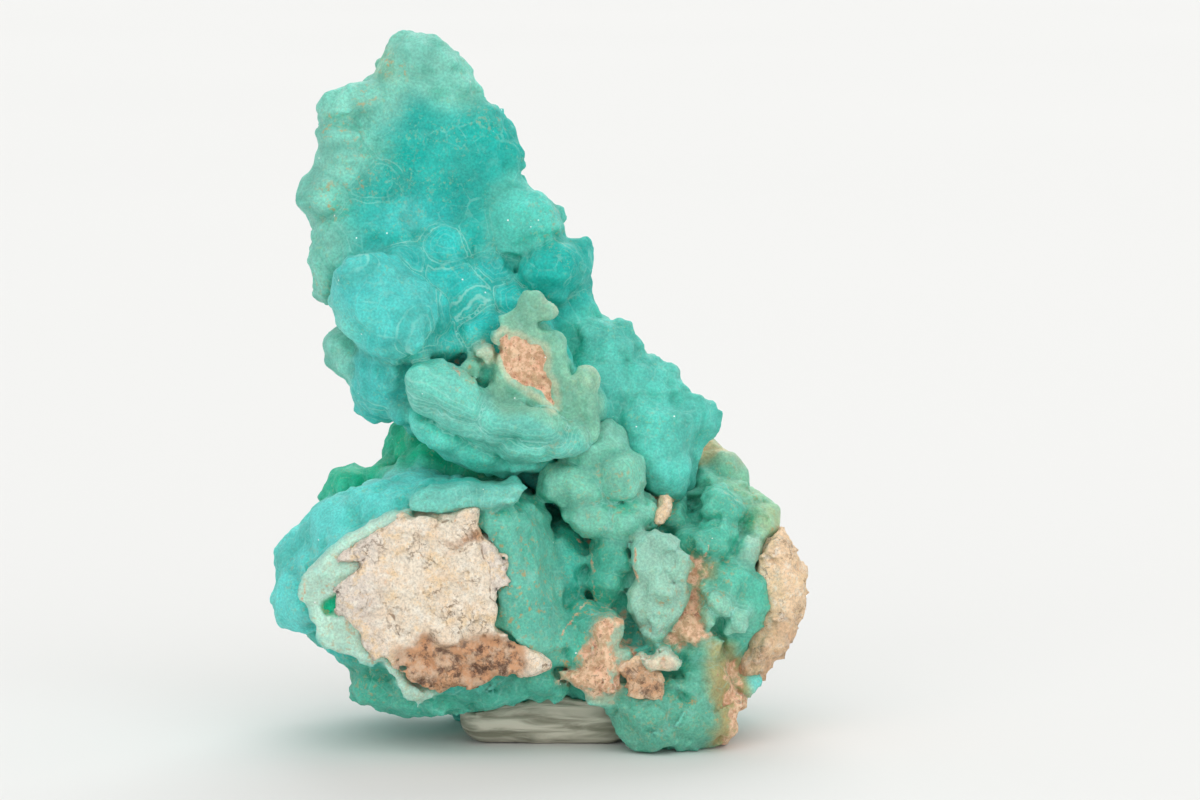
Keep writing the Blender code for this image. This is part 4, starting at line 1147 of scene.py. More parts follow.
STAINS = [
    (-24.8, 64.9, 2.4, 0.9), (-24.2, 73.8, 1.8, 0.9), (-22.4, 71.6, 1.8, 0.8),
    (-18.6, 81.3, 1.6, 1.0), (-16.5, 80.3, 1.5, 0.7), (-20.6, 77.1, 1.5, 0.7),
    (-21.5, 68.0, 2.8, 0.7), (-6.0, 75.0, 3.0, 0.35), (-15.0, 66.5, 5.0, 0.25),
    (1.5, 62.5, 3.5, 0.4), (-27.0, 54.5, 2.0, 0.5), (-8.0, 46.0, 3.0, 0.7),
    (-2.5, 19.5, 5.0, 0.9), (-3.0, 26.0, 4.5, 0.7), (6.5, 16.5, 2.6, 1.0), (4.0, 12.0, 3.0, 1.0),
    (9.0, 31.0, 4.0, 0.6), (13.0, 12.5, 4.0, 0.7), (15.6, 17.6, 2.2, 0.8), (20.0, 20.0, 4.0, 0.7),
    (-25.5, 19.0, 4.0, 0.6), (-22.5, 13.5, 3.5, 0.6), (-19.5, 8.0, 3.0, 0.5), (14.0, 5.5, 4.0, 0.5),
    (21.5, 5.0, 3.0, 0.6), (18.2, 5.7, 1.3, 1.0), (4.0, 35.5, 4.0, 0.4), (7.0, 26.5, 4.0, 0.4),
    (25.0, 30.0, 4.0, 0.5),
]
STAINS_FRONT = 3.0
THIN_OVER_ROCK = 1.4


def stains_on(points):
    """How much iron stain each vertex has."""
    stain = np.zeros(len(points))
    for x, z, reach, strength in STAINS:
        away = np.hypot(points[:, 0] - x, points[:, 2] - z)
        stain = np.maximum(stain, strength * np.clip(1.5 - away / reach, 0, 1))
    stain *= points[:, 1] < STAINS_FRONT
    return np.maximum(stain, 0.9 * np.clip(1 - sampled(rock, points) / THIN_OVER_ROCK, 0, 1))


print("stains", len(STAINS), "and seams", len(SEAMS))

# %% [markdown]
# Every vertex takes its tint from the lumps near it, and a darker one in hollows, where
# little light comes in. It also gets four marks: how far it is from the crease with the
# next body, how rocky it is, how stained by iron, and how clearly its body is outlined
# and layered. The finish reads them later. Painting by hand could do this too, but then
# each change of shape would need a new painting.

# %% Mark every vertex
FAINT = 0.04
TINT_FADE = 0.6
NO_CREASE, BESIDE_LIMIT = 9.0, 4.0
HOLLOW_LOSS = np.array([0.75, 0.22, 0.30])
THIN_REACH, THIN_PALE = 1.8, 0.22
FEELERS = (1.2, 2.6)
TINT_REACH = 3.0


def hollowness(space, points, facing):
    """0 on open skin to 1 in a hollow, from how soon another skin is met outwards."""
    hollow = np.zeros(len(points))
    for reach in FEELERS:
        free = np.clip(sampled(space, points + facing * reach) / reach, 0, 1)
        hollow += 0.5 * np.clip((0.92 - free) / 0.75, 0, 1)
    return hollow


def mark_growth(space, quiet, points, bodies):
    """The tint and the four marks of every vertex."""
    tint = np.tile(FAINT * np.array(KINDS["teal"]), (len(points), 1))
    share = np.full(len(points), FAINT)
    rocky, outlined = np.zeros(len(points)), np.zeros(len(points))
    nearest = sampled(quiet, points)
    bent = points + np.stack([sampled(space, points, move) for move in space.bend], axis=1)
    second = np.full(len(points), NO_CREASE)
    for rows, softness, crease in bodies:
        middles = np.array([row[1:4] for row in rows])
        reach = np.array([max(row[4:7]) for row in rows])[:, None] + TINT_REACH
        low, high = (middles - reach).min(axis=0), (middles + reach).max(axis=0)
        close = np.nonzero(((points > low) & (points < high)).all(axis=1))[0]
        if not len(close):
            continue
        near = bent[close].T
        gap = body_gap(*near, [row[1:] for row in rows], softness)
        for row in rows:
            if row[0]:
                weight = np.exp(-np.maximum(lump_gap(*near, row[1:]), 0) / TINT_FADE)
                tint[close] += weight[:, None] * np.array(KINDS[row[0]])
                share[close] += weight
                rocky[close] += weight * (row[0] in ROCKY)
                outlined[close] += weight * OUTLINED.get(row[0], FAINTLY_OUTLINED)
        closer = gap < nearest[close]
        second[close] = np.where(closer, nearest[close], np.minimum(second[close], gap))
        nearest[close] = np.where(closer, gap, nearest[close])
    tint /= share[:, None]
    beside = np.clip(second - nearest, 0, BESIDE_LIMIT)
    facing = slopes(space, points)
    hollow = hollowness(space, points, facing)
    tint *= 1 - hollow[:, None] * HOLLOW_LOSS
    thin = np.clip(1.5 + sampled(space, points - THIN_REACH * facing) / 1.2, 0, 1)
    tint += THIN_PALE * thin[:, None] * (np.array(KINDS["plate"]) - tint)
    return tint, beside, np.clip(rocky / share, 0, 1), np.clip(outlined / share, 0, 1)


print("in a hollow these shares of red, green and blue are left", 1 - HOLLOW_LOSS)

# %% [markdown]
# A mesh piece gets its points, its faces and its marks. The marks are stored with the
# vertices, where the finish can read them.

# %% Make a piece
def new_piece(name, points, faces, finish, tint, marks):
    """A smooth mesh object in metres, with a tint and four marks at each vertex."""
    mesh = bpy.data.meshes.new(name)
    mesh.from_pydata(((points + MOVED) * MM).tolist(), [], faces.tolist())
    full_tint = np.concatenate([tint, np.ones((len(tint), 1))], axis=1)
    for label, values in (("tint", full_tint), ("marks", np.stack(marks, axis=1))):
        layer = mesh.color_attributes.new(label, "FLOAT_COLOR", "POINT")
        layer.data.foreach_set("color", values.astype(np.float32).ravel())
    mesh.materials.append(finish)
    mesh.shade_smooth()
    piece = bpy.data.objects.new(name, mesh)
    bpy.context.scene.collection.objects.link(piece)
    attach(piece, "root")
    print(name, len(points), "vertices", 2 * len(faces), "triangles")
    return piece


def largest_body(points, faces):
    """Keep the biggest connected skin, without crumbs and inner bubbles."""
    label = np.arange(len(points))
    edges = np.concatenate([faces[:, [0, 1]], faces[:, [1, 2]], faces[:, [2, 3]]])
    while True:
        lowest = np.minimum(label[edges[:, 0]], label[edges[:, 1]])
        before = label.copy()
        np.minimum.at(label, edges[:, 0], lowest)
        np.minimum.at(label, edges[:, 1], lowest)
        label = label[label]
        if (label == before).all():
            break
    kinds, counts = np.unique(label, return_counts=True)
    keep = label == kinds[counts.argmax()]
    number = np.cumsum(keep) - 1
    return points[keep], number[faces[keep[faces[:, 0]]]]


# %% [markdown]
# A finish is a small net of nodes. This helper adds one node, sets its plain values and
# wires what it is given, so that each finish below reads like a recipe.

# %% A helper for finishes
class Finish:
    """A new material and its nodes."""

    def __init__(self, name):
        self.material = bpy.data.materials.new(name)
        self.material.use_nodes = True
        self.tree = self.material.node_tree
        self.shader = self.tree.nodes["Principled BSDF"]
        self.place = self.add("TexCoord").outputs["Object"]

    def add(self, kind, settings=None, **inputs):
        """One node: its own settings, then values or links for its inputs."""
        node = self.tree.nodes.new("ShaderNode" + kind)
        for key, value in (settings or {}).items():
            setattr(node, key, value)
        for key, value in inputs.items():
            self.feed(node.inputs[key.replace("_", " ")], value)
        return node

    def feed(self, socket, value):
        """Wire an output to a socket, or set its value."""
        if isinstance(value, bpy.types.NodeSocket):
            self.tree.links.new(value, socket)
        else:
            socket.default_value = value

    def maths(self, operation, a, b=0.0):
        """One sum on two numbers."""
        node = self.tree.nodes.new("ShaderNodeMath")
        node.operation = operation
        self.feed(node.inputs[0], a)
        self.feed(node.inputs[1], b)
        return node.outputs[0]

    def times(self, a, b):
        """One number times another."""
        return self.maths("MULTIPLY", a, b)

    def plus(self, a, b):
        """One number plus another."""
        return self.maths("ADD", a, b)

    def away(self, a, b):
        """How far one number is from another."""
        return self.maths("ABSOLUTE", self.maths("SUBTRACT", a, b))

    def wander(self, size, detail, reach):
        """Noise round zero, this much from its lowest to its highest."""
        return self.times(self.maths("SUBTRACT", self.noise(size, detail), 0.5), reach)

    def noise(self, size, detail=3.0, rough=0.55):
        """Noise that changes over about this many millimetres, from 0 to 1."""
        return self.add("TexNoise", Vector=self.place, Scale=1 / (size * MM), Detail=detail,
                        Roughness=rough).outputs["Fac"]

    def cells(self, size, feature="F1"):
        """A Voronoi pattern with cells of about this many millimetres."""
        return self.add("TexVoronoi", {"feature": feature}, Vector=self.place,
                        Scale=1 / (size * MM))

    def between(self, value, start, stop, low=0.0, high=1.0):
        """A soft step from low to high while the value goes from start to stop."""
        node = self.add("MapRange", {"interpolation_type": "SMOOTHSTEP"}, Value=value)
        ends = (("From Min", start), ("From Max", stop), ("To Min", low), ("To Max", high))
        for key, number in ends:
            node.inputs[key].default_value = number
        return node.outputs[0]

    def mix(self, amount, a, b, blend="MIX"):
        """Two colours mixed by an amount from 0 to 1."""
        node = self.tree.nodes.new("ShaderNodeMix")
        node.data_type = "RGBA"
        node.blend_type = blend
        for socket, value in ((node.inputs[0], amount), (node.inputs[6], a), (node.inputs[7], b)):
            if isinstance(value, tuple) and len(value) == 3:
                value = (*value, 1.0)
            self.feed(socket, value)
        return node.outputs[2]

    def bump(self, height, depth, below=None):
        """Bumps this many millimetres deep, on top of another bump."""
        node = self.add("Bump", Height=height, Distance=depth * MM)
        if below is not None:
            self.feed(node.inputs["Normal"], below)
        return node.outputs["Normal"]

    def grey(self, value):
        """A grey of this value."""
        return self.add("CombineColor", Red=value, Green=value, Blue=value).outputs[0]

    def mark(self, name):
        """The colour stored at the vertices under this name."""
        return self.add("Attribute", {"attribute_name": name}).outputs["Color"]

    def channels(self, colour):
        """The red, green and blue of a colour."""
        return self.add("SeparateColor", Color=colour).outputs

    def set(self, **values):
        """Set the shader's own sockets."""
        for key, value in values.items():
            self.feed(self.shader.inputs[key.replace("_", " ")], value)


print("a finish can", [word for word in vars(Finish) if not word.startswith("_")])

# %% [markdown]
# The growth is waxy and a little see-through: light goes in, spreads a millimetre or so
# and comes out tinted. Its skin is thousands of tiny crystal tips, so it looks sugary,
# and a few tips get a painted highlight: a pale spot in the colour, also less rough. The
# recipe starts from the tint at the vertices. Patches and sugar change its lightness, then
# come milky clouds and thin veils, painted shade darkening the crease with a pale line
# beside it, the layers, dust, iron stain, bare rock and the painted highlights.

# %% The finish of the growth
MILK, VEIL = (0.30, 0.66, 0.56), (0.34, 0.72, 0.64)
# the colour of the painted shade in the creases between bodies
CREASE_SHADE = (0.008, 0.27, 0.20)
EDGE_LINE, LAYER_LINE = (0.38, 0.76, 0.68), (0.42, 0.76, 0.66)
LINE_AWAY, LAYER_EVERY = 0.26, 0.22
DUST, IRON = (0.36, 0.52, 0.30), (0.62, 0.33, 0.11)
STONE_DARK, STONE_PALE, STONE_SPECK = (0.58, 0.36, 0.22), (0.84, 0.58, 0.40), (0.24, 0.12, 0.08)
# the pale colour of the painted highlights, the size of their cells and how rare they are
PAINTED_GLINT, GLINT_CELL, GLINT_LUCK = (0.90, 0.96, 0.94), 0.9, 0.972
WAXY_REACH = (0.30, 1.0, 0.92)
WAXY_DEPTH = 1.1 * MM


def growth_finish():
    """Waxy, sugary blue-green growth with pale lines and orange stains."""
    f = Finish("hemimorphite growth")
    marks = f.mark("marks")
    beside, rocky, stain = list(f.channels(marks))[:3]
    layers = marks.node.outputs["Alpha"]
    patches = f.between(f.noise(4.0, 4.0), 0.30, 0.70, 0.84, 1.10)
    sugar = f.between(f.noise(0.30, 3.0, 0.7), 0.32, 0.68, 0.84, 1.14)
    colour = f.mix(1.0, f.mark("tint"), f.grey(f.times(patches, sugar)), "MULTIPLY")
    milky = f.between(f.noise(1.8, 5.0, 0.65), 0.52, 0.74, 0.0, 0.16)
    colour = f.mix(milky, colour, MILK)
    web = f.cells(2.3, "DISTANCE_TO_EDGE").outputs["Distance"]
    thread = f.between(f.plus(web, f.wander(0.9, 3.0, 0.25)), 0.0, 0.05, 1.0, 0.0)
    veil = f.times(thread, f.between(f.noise(3.0, 2.0), 0.42, 0.62, 0.0, 0.25))
    colour = f.mix(veil, colour, VEIL)
    # painted shade: the colour darkens towards the crease between two bodies
    deep = f.between(beside, 0.0, 0.8, 0.22, 0.0)
    colour = f.mix(deep, colour, CREASE_SHADE)
    wander = f.wander(1.1, 3.0, 0.5)
    line = f.between(f.away(f.plus(beside, wander), LINE_AWAY), 0.02, 0.11, 1.0, 0.0)
    patchy = f.times(f.between(f.noise(4.0, 2.0), 0.40, 0.60, 0.10, 0.75), layers)
    colour = f.mix(f.times(line, patchy), colour, EDGE_LINE)
    band = f.maths("PINGPONG", f.plus(beside, f.times(wander, 0.6)), LAYER_EVERY)
    bands = f.times(f.between(band, 0.0, 0.07, 1.0, 0.0), f.between(layers, 0.7, 1.0))
    bands = f.times(bands, f.between(beside, 1.2, 2.4, 0.4, 0.0))
    colour = f.mix(bands, colour, LAYER_LINE)
    dusty = f.times(f.between(f.noise(0.55, 4.0, 0.75), 0.54, 0.66),
                    f.between(f.noise(5.0, 3.0), 0.45, 0.60, 0.05, 0.42))
    colour = f.mix(dusty, colour, DUST)
    specks = f.between(f.noise(0.75, 4.0, 0.7), 0.54, 0.66)
    colour = f.mix(f.times(f.times(specks, stain), 0.75), colour, IRON)
    stone = f.mix(f.between(f.noise(0.7, 4.0, 0.7), 0.40, 0.62), STONE_DARK, STONE_PALE)
    stone = f.mix(f.between(f.noise(0.5, 3.0), 0.60, 0.68, 0.0, 0.6), stone, STONE_SPECK)
    ragged = f.between(f.plus(rocky, f.wander(1.0, 4.0, 1.0)), 0.30, 0.55)
    colour = f.mix(ragged, colour, stone)
    # painted highlights: a few lucky cells of the sugar get a pale colour painted in, and less
    # roughness
    grain = f.cells(GLINT_CELL)
    lucky = f.between(f.channels(grain.outputs["Color"])[0], GLINT_LUCK, GLINT_LUCK + 0.004)
    painted_glint = f.times(lucky, f.between(grain.outputs["Distance"], 0.06, 0.16, 1.0, 0.0))
    colour = f.mix(painted_glint, colour, PAINTED_GLINT)
    lumpy = f.bump(f.noise(1.2, 3.0), 0.14)
    sugary = f.bump(f.noise(0.32, 3.0, 0.65), 0.07, lumpy)
    f.set(Base_Color=colour, Normal=sugary,
          Roughness=f.maths("SUBTRACT", 0.60, f.times(painted_glint, 0.4)))
    f.set(Subsurface_Weight=0.8, Subsurface_Radius=WAXY_REACH, Subsurface_Scale=WAXY_DEPTH,
          Specular_IOR_Level=0.25)
    return f.material


growth = growth_finish()
print("nodes in the growth's finish", len(growth.node_tree.nodes))

# %% [markdown]
# The rock is a fine-grained, crumbly limestone: cream with grey and rusty patches, dark
# pores, and cracks that collect dirt. Its marks say where it is brown, how far off the
# nearest crack is, and where it is grey or warm. It is quite dull, so it has no sheen.

# %% The finish of the rock
CREAM, CREAM_DARK, CREAM_PALE = (0.97, 0.87, 0.72), (0.90, 0.72, 0.54), (0.99, 0.92, 0.80)
WARM, GREYISH, OCHRE = (0.97, 0.70, 0.45), (0.80, 0.71, 0.64), (0.95, 0.70, 0.42)
BROWN, BURNT, BURNT_PALE = (0.68, 0.43, 0.27), (0.17, 0.10, 0.07), (0.70, 0.38, 0.21)
RUST, PORE = (0.80, 0.42, 0.17), (0.30, 0.20, 0.13)
CRACK_DIRT, VEIN = (0.24, 0.13, 0.07), (0.34, 0.20, 0.11)


def rock_finish():
    """Crumbly cream rock with rust, cracks and pores."""
    f = Finish("cream rock")
    marks = f.mark("marks")
    brown, crack, grey = list(f.channels(marks))[:3]
    warm = marks.node.outputs["Alpha"]
    colour = f.mix(f.between(f.noise(3.2, 6.0, 0.68), 0.34, 0.64), CREAM, CREAM_DARK)
    colour = f.mix(f.times(warm, 0.90), colour, WARM)
    colour = f.mix(f.times(grey, 0.70), colour, GREYISH)
    light = f.between(f.noise(0.9, 5.0, 0.7), 0.48, 0.64, 0.0, 0.7)
    colour = f.mix(light, colour, CREAM_PALE)
    ochre = f.times(f.between(f.noise(2.2, 5.0, 0.75), 0.50, 0.64), 0.70)
    colour = f.mix(ochre, colour, OCHRE)
    fine = f.between(f.noise(0.34, 4.0, 0.8), 0.36, 0.60, 0.76, 1.08)
    colour = f.mix(1.0, colour, f.grey(fine), "MULTIPLY")
    colour = f.mix(f.times(brown, 0.75), colour, BROWN)
    burnt = f.mix(f.between(f.noise(1.5, 5.0, 0.72), 0.40, 0.55), BURNT, BURNT_PALE)
    rusty = f.times(brown, f.between(f.noise(1.6, 6.0, 0.75), 0.36, 0.56))
    colour = f.mix(rusty, colour, burnt)
    spots = f.between(f.noise(1.4, 5.0, 0.75), 0.63, 0.71, 0.0, 0.75)
    colour = f.mix(spots, colour, RUST)
    pores = f.between(f.noise(0.42, 5.0, 0.75), 0.31, 0.38, 0.80, 0.0)
    colour = f.mix(pores, colour, PORE)
    dirt = f.between(f.plus(crack, f.wander(1.6, 2.0, 0.36)), 0.02, 0.12, 0.70, 0.0)
    colour = f.mix(dirt, colour, CRACK_DIRT)
    wrinkle = f.away(f.noise(3.0, 5.0, 0.62), 0.5)
    veins = f.times(f.between(wrinkle, 0.002, 0.011, 0.60, 0.0),
                    f.between(f.noise(3.5, 2.0), 0.46, 0.60))
    colour = f.mix(veins, colour, VEIN)
    crumb = f.bump(f.noise(1.3, 6.0, 0.72), 0.38)
    crumb = f.bump(f.times(veins, -1.0), 0.25, crumb)
    grit = f.bump(f.noise(0.35, 4.0, 0.8), 0.15, crumb)
    f.set(Base_Color=colour, Roughness=0.95, Normal=grit, Specular_IOR_Level=0.2)
    return f.material


limestone = rock_finish()
print("nodes in the rock's finish", len(limestone.node_tree.nodes))

# %% [markdown]
# The rock's skin was read off its grid before. Only its biggest connected part is kept,
# then it gets its marks and its finish. The bare face turns grey towards its left edge,
# and all rock right of the dome is warmer.

# %% Make the rock
ROCK_TINT = [0.8, 0.65, 0.5]
CHUNK_FRONT = -9.0
GREY_LEFT_OF, WARM_RIGHT_OF, WALL_RIGHT_OF, WALL_BELOW = -16.5, 1.0, 22.0, 17.0


def mark_rock(points):
    """Where the rock is rusty brown, near a crack, grey and warm."""
    x, y, z = points.T
    front = (y < -8) & (x < FACE_RIGHT)
    brown = inside_of(points, BROWN_ZONE, 1.4) * front
    brown = np.maximum(brown, 0.9 * inside_of(points, RUST_CORNER, 0.6) * front)
    brown = np.maximum(brown, 0.85 * inside_of(points, RUSTY_CHUNK, 0.8) * (y < CHUNK_FRONT))
    low_wall = np.clip((x - WALL_RIGHT_OF) / 2, 0, 1) * np.clip((WALL_BELOW - z) / 6, 0, 1)
    brown = np.maximum(brown, low_wall * np.clip(0.32 + 0.35 * layered(points, 3.0, 73, 3), 0, 1))
    grey = np.clip(-(x - GREY_LEFT_OF) / 3.5 + 0.5 * layered(points, 3.5, 71), 0, 1) * front
    grey = np.maximum(grey, inside_of(points, SIDE_STRIP, 0.5) * front)
    warm = np.clip((x - WARM_RIGHT_OF) / 4 + 0.3 * layered(points, 4.0, 72), 0, 1)
    return brown, np.clip(crack_gap(points), 0, 3), grey, warm


rock_points, rock_faces = largest_body(rock_points, rock_faces)
rock_tint = np.tile(ROCK_TINT, (len(rock_points), 1))
rock_piece = new_piece("rock", rock_points, rock_faces, limestone, rock_tint,
                       mark_rock(rock_points))
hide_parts("matrix_rock")

# %% [markdown]
# Some tints follow the drawing instead of the lumps. The sheet's left rim is paler than
# its middle. The fin is a pale yellowish green round its rocky patch, with a chalky
# border. Each of these pulls the tint that is there part of the way to another kind.

# %% Tint the sheet by the drawing
RIM_WIDTH, RIM_ABOVE, RIM_LEFT_OF, RIM_PALE = 2.8, 46, -10, 0.45
FIN_TINT = 0.7


def toward(tint, amount, kind):
    """Pull the tint of every vertex this far toward that of a kind of growth."""
    tint += amount[:, None] * (np.array(KINDS[kind]) - tint)


def tint_sheet(points, tint, rocky, layers):
    """The pale rim, and the fin with its patch; returns how rocky and how layered it is."""
    rim = np.clip(1 - in_outline(points, SHEET_OUTLINE) / RIM_WIDTH, 0, 1)
    rim *= (points[:, 2] > RIM_ABOVE) * np.clip((RIM_LEFT_OF - points[:, 0]) / 5, 0.0, 1)
    toward(tint, RIM_PALE * rim, "pale")
    front = points[:, 1] < FIN_FRONT
    for kind, outline in (("fin", FIN_OUTLINE), ("chalk", CHALKY_CHIP), ("fin", GREEN_CHIP)):
        toward(tint, FIN_TINT * np.clip(in_outline(points, outline) + 0.7, 0, 1) * front, kind)
    patch = inside_of(points, FIN_ROCK_OUTLINE, 0.5) * front
    border = np.clip(1.4 - np.abs(in_outline(points, FIN_ROCK_OUTLINE) + 0.4) / 0.5, 0, 1)
    toward(tint, FIN_TINT * border * front, "chalk")
    return np.maximum(rocky, patch), layers


print("left of", RIM_LEFT_OF, "mm the rim is up to", RIM_PALE, "of the way to pale")

# %% [markdown]
# On the base the plates take the tint of their own kind, and their layers show. Between
# the knobs there are olive and tan patches. The low mass fades from growth to stone.

# %% Tint the base by the drawing
PLATE_TINT, PLATE_REACH, PLATE_DEPTH, PLATE_LAYERS = 0.85, 0.8, 3.5, 0.3
OLIVE, OLIVE_EDGE, TAN_ROCKY = 0.8, 1.6, 0.46
MASS_EDGE, MASS_FRONT = 3.2, -5.0


def tint_base(points, tint, rocky, layers):
    """Plates, pocket, patches and low mass; returns how rocky and how layered it is."""
    for kind, outline, front in [plate[:3] for plate in BASE_PLATES]:
        part = np.clip(in_outline(points, outline) + PLATE_REACH, 0, 1)
        part *= points[:, 1] < front + PLATE_DEPTH
        toward(tint, PLATE_TINT * part, kind)
        layers = np.maximum(layers, part * OUTLINED.get(kind, PLATE_LAYERS))
    pocket = inside_of(points, BAND_POCKET, 0.6) * (points[:, 1] < BAND_FRONT)
    toward(tint, pocket, "green")
    front = points[:, 1] < 0
    for outline in [OLIVE_SIDE] + TAN_PATCHES:
        toward(tint, OLIVE * inside_of(points, outline, OLIVE_EDGE) * front, "olive")
    for outline in TAN_PATCHES:
        rocky = np.maximum(rocky, TAN_ROCKY * inside_of(points, outline, OLIVE_EDGE) * front)
    mass = inside_of(points, LOW_MASS, MASS_EDGE) * (0.78 + 0.45 * layered(points, 2.4, 95, 2))
    return np.maximum(rocky, np.clip(mass, 0, 1) * (points[:, 1] < MASS_FRONT)), layers


print("patches between the knobs", 1 + len(TAN_PATCHES))

# %% [markdown]
# Now the two pieces of growth. Both stand for the same solid, because the crust grew as
# one. Their skins are read off the grids, marked, tinted, and crossed by the seams.

# %% Make the growth
SEAM_NEAR, SEAM_FRONT, SEAM_HALF, SEAM_ROCKY = 2.0, -2.0, 0.22, 0.47


def add_seams(points, rocky):
    """Mark thin lines of rock along the drawn seams."""
    for line in SEAMS:
        near = (line_gap(points, line) < SEAM_NEAR) & (points[:, 1] < SEAM_FRONT)
        close = np.nonzero(near)[0]
        seam = np.clip(1.5 - line_gap(wavy(points[close]), line) / SEAM_HALF, 0, 1)
        rocky[close] = np.maximum(rocky[close], SEAM_ROCKY * seam)


for name, space, quiet, bodies, by_drawing in (
        ("growth_sheet", sheet, sheet_quiet, SHEET_BODIES, tint_sheet),
        ("growth_base", base, base_quiet, BASE_BODIES, tint_base)):
    points, faces = largest_body(*skin(space))
    tint, beside, rocky, layers = mark_growth(space, quiet, points, bodies)
    rocky, layers = by_drawing(points, tint, rocky, layers)
    add_seams(points, rocky)
    marks = (beside, rocky, stains_on(points), layers)
    piece = new_piece(name, points, faces, growth, tint, marks)
    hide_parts("hemimorphite_crust")

# %% [markdown]
# The putty pad was kneaded, so it is streaky grey and its folds run round its sides. The
# streaks are noise that is stretched sideways, by squeezing its place along x and y.

# %% The finish of the putty
STREAK_STRETCH = (0.35, 0.35, 2.2)
STREAKS_A_METRE = 330.0
PUTTY_DARK, PUTTY_PALE = (0.22, 0.215, 0.155), (0.60, 0.575, 0.47)
FOLD_DEPTH = 0.8


def putty_finish():
    """Grey-white putty with faint swirls."""
    f = Finish("display putty")
    stretched = f.add("Mapping", Vector=f.place)
    stretched.inputs["Scale"].default_value = STREAK_STRETCH
    streaks = f.add("TexNoise", Vector=stretched.outputs[0], Scale=STREAKS_A_METRE, Detail=4.0,
                    Distortion=0.8).outputs["Fac"]
    colour = f.mix(f.between(streaks, 0.35, 0.65), PUTTY_DARK, PUTTY_PALE)
    f.set(Base_Color=colour, Roughness=0.62, Normal=f.bump(streaks, FOLD_DEPTH))
    return f.material


putty = putty_finish()
print("nodes in the putty's finish", len(putty.node_tree.nodes))

# %% [markdown]
# The pad is a rounded block. Soft putty takes the shape of the stone that is pressed into
# it, so all of the block that would lie inside the stone is cut away, with a hair's gap.
# In Blender alone this would be a Boolean modifier.

# %% The putty pad
PUTTY_LOW, PUTTY_HIGH, PUTTY_CELL = (-11, -11, -1), (13, 10, 9), 0.3
PUTTY_ROUNDING = 3.2
PUTTY_TINT = [0.5, 0.5, 0.45]
HAIRS_GAP = 0.1
ALL_OF_IT = 40


def block_gap(x, y, z, middle, half, rounding):
    """Distance to a rounded block."""
    sides = [np.abs(value - m) - h + rounding for value, m, h in zip((x, y, z), middle, half)]
    outside = np.sqrt(sum(np.maximum(side, 0) ** 2 for side in sides))
    inside = np.minimum(np.maximum(np.maximum(sides[0], sides[1]), sides[2]), 0)
    return outside + inside - rounding


pad = Space(PUTTY_LOW, PUTTY_HIGH, PUTTY_CELL)
box, px, py, pz = pad.part(np.array(PUTTY_MIDDLE), ALL_OF_IT)
pad.gap[box] = block_gap(px, py, pz, PUTTY_MIDDLE, PUTTY_HALF, PUTTY_ROUNDING)
roughen(pad, size=5.0, depth=0.12, seed=81, layers=2)
level_below(pad)
every = np.stack(np.meshgrid(*pad.axes(), indexing="ij"), axis=-1).reshape(-1, 3)
for other in (base, rock):
    pad.gap = np.maximum(pad.gap, HAIRS_GAP - sampled(other, every).reshape(pad.gap.shape))
pad_points, pad_faces = largest_body(*skin(pad))
pad_tint = np.tile(PUTTY_TINT, (len(pad_points), 1))
pad_piece = new_piece("putty_pad", pad_points, pad_faces, putty, pad_tint,
                      [np.zeros(len(pad_points))] * 4)
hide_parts("display_putty")

# %% [markdown]
# A plain studio: a wide pale floor and a bright sky all round for soft shade. Two broad
# soft lights stand in for softboxes, one in front and one behind. Each is a sun lamp, which
# shines evenly everywhere, with a large angle, which softens its shadows.

# %% The studio
FLOOR_SIZE = 60.0
FLOOR_DARK, FLOOR_PALE = (0.766, 0.766, 0.753), (0.786, 0.786, 0.773)
FLOOR_MOTTLE = 400.0
SOFTBOXES = [
    ("front softbox", 5.0, 24.0, 100.0, 1.80), ("back softbox", 170.0, 40.0, 50.0, 1.30),
]
SKY_COLOUR, SKY_STRENGTH = (1.0, 1.0, 0.995, 1.0), 0.64


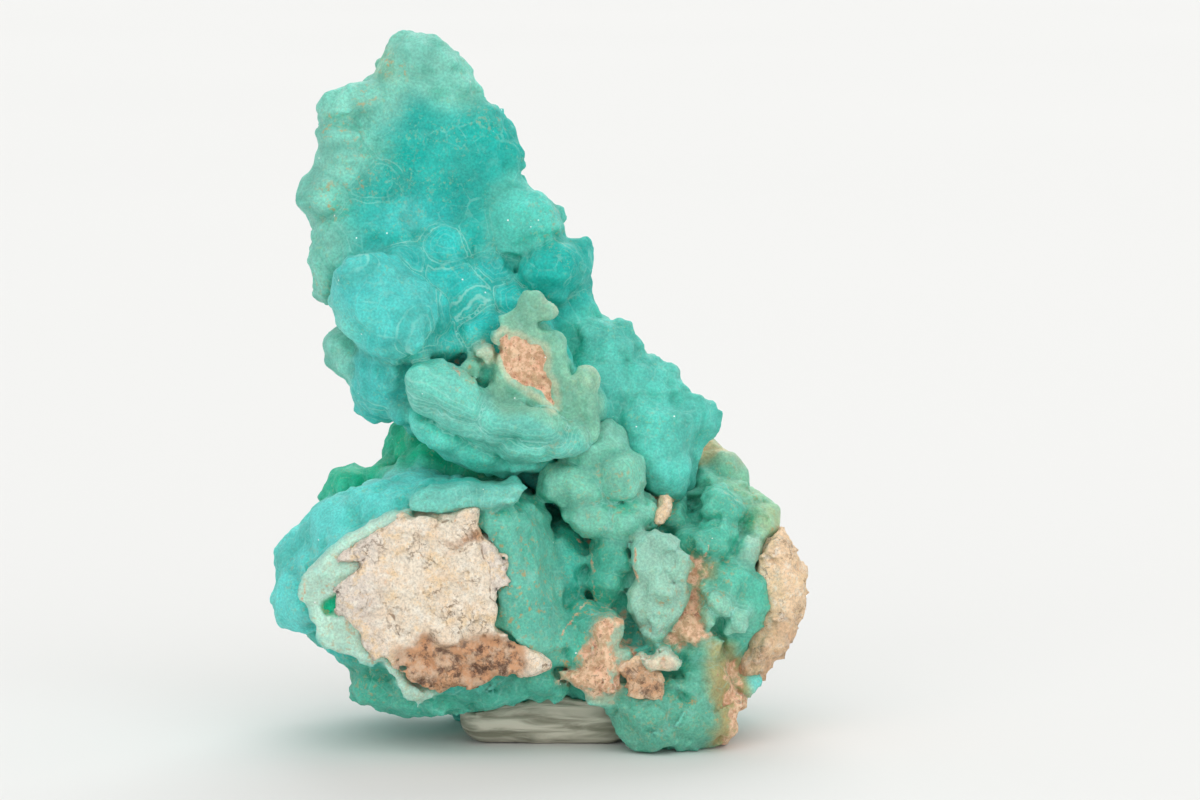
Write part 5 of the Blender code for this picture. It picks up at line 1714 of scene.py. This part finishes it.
def pale_floor():
    """A wide plain floor."""
    bpy.ops.mesh.primitive_plane_add(size=FLOOR_SIZE)
    floor = bpy.context.object
    floor.name = "pale_floor"
    f = Finish("pale paper")
    tone = f.noise(FLOOR_MOTTLE, 1.0)
    f.set(Base_Color=f.mix(tone, FLOOR_DARK, FLOOR_PALE), Roughness=0.9, Specular_IOR_Level=0.1)
    floor.data.materials.append(f.material)


def soft_sun(name, across, up, spread, strength):
    """Even soft light from a direction: degrees across from the front, and up."""
    lamp = bpy.data.lights.new(name, "SUN")
    lamp.angle = radians(spread)
    lamp.energy = strength
    holder = bpy.data.objects.new(name, lamp)
    bpy.context.scene.collection.objects.link(holder)
    holder.rotation_euler = (radians(90 - up), 0.0, radians(across))
    print(name, "shines from", across, "degrees across and", up, "degrees up")


def soft_sky():
    """A bright sky all round."""
    sky = bpy.data.worlds.new("soft sky")
    bpy.context.scene.world = sky
    sky.use_nodes = True
    background = sky.node_tree.nodes["Background"]
    background.inputs["Color"].default_value = SKY_COLOUR
    background.inputs["Strength"].default_value = SKY_STRENGTH


pale_floor()
for softbox in SOFTBOXES:
    soft_sun(*softbox)
soft_sky()
bpy.context.scene.view_settings.view_transform = "Standard"

# %% [markdown]
# The camera stands 600 mm in front and looks 7 degrees down, with a long lens, so the
# specimen fills the picture from its putty to its tip. It aims at the drawing's middle,
# which moved with the specimen.

# %% The camera
DISTANCE = 0.600
LOOK_DOWN = 7.0
FRAME_WIDTH = 0.144
FILM_WIDTH = 36.0
NEAREST_SEEN = 0.01
DRAWING_MIDDLE = np.array([7.44, -1.5, 40.8])
AIM = (DRAWING_MIDDLE + MOVED) * MM


def add_camera():
    """The camera at the photograph's angle."""
    lens = bpy.data.cameras.new("camera")
    lens.sensor_width = FILM_WIDTH
    lens.lens = FILM_WIDTH * DISTANCE / FRAME_WIDTH
    lens.clip_start = NEAREST_SEEN
    camera = bpy.data.objects.new("camera", lens)
    bpy.context.scene.collection.objects.link(camera)
    down = radians(LOOK_DOWN)
    camera.location = AIM + DISTANCE * np.array([0.0, -cos(down), sin(down)])
    camera.rotation_euler = (radians(90) - down, 0.0, 0.0)
    bpy.context.scene.camera = camera
    print("camera lens", round(lens.lens, 1), "mm, at", [round(v, 3) for v in camera.location])


add_camera()

# %% [markdown]
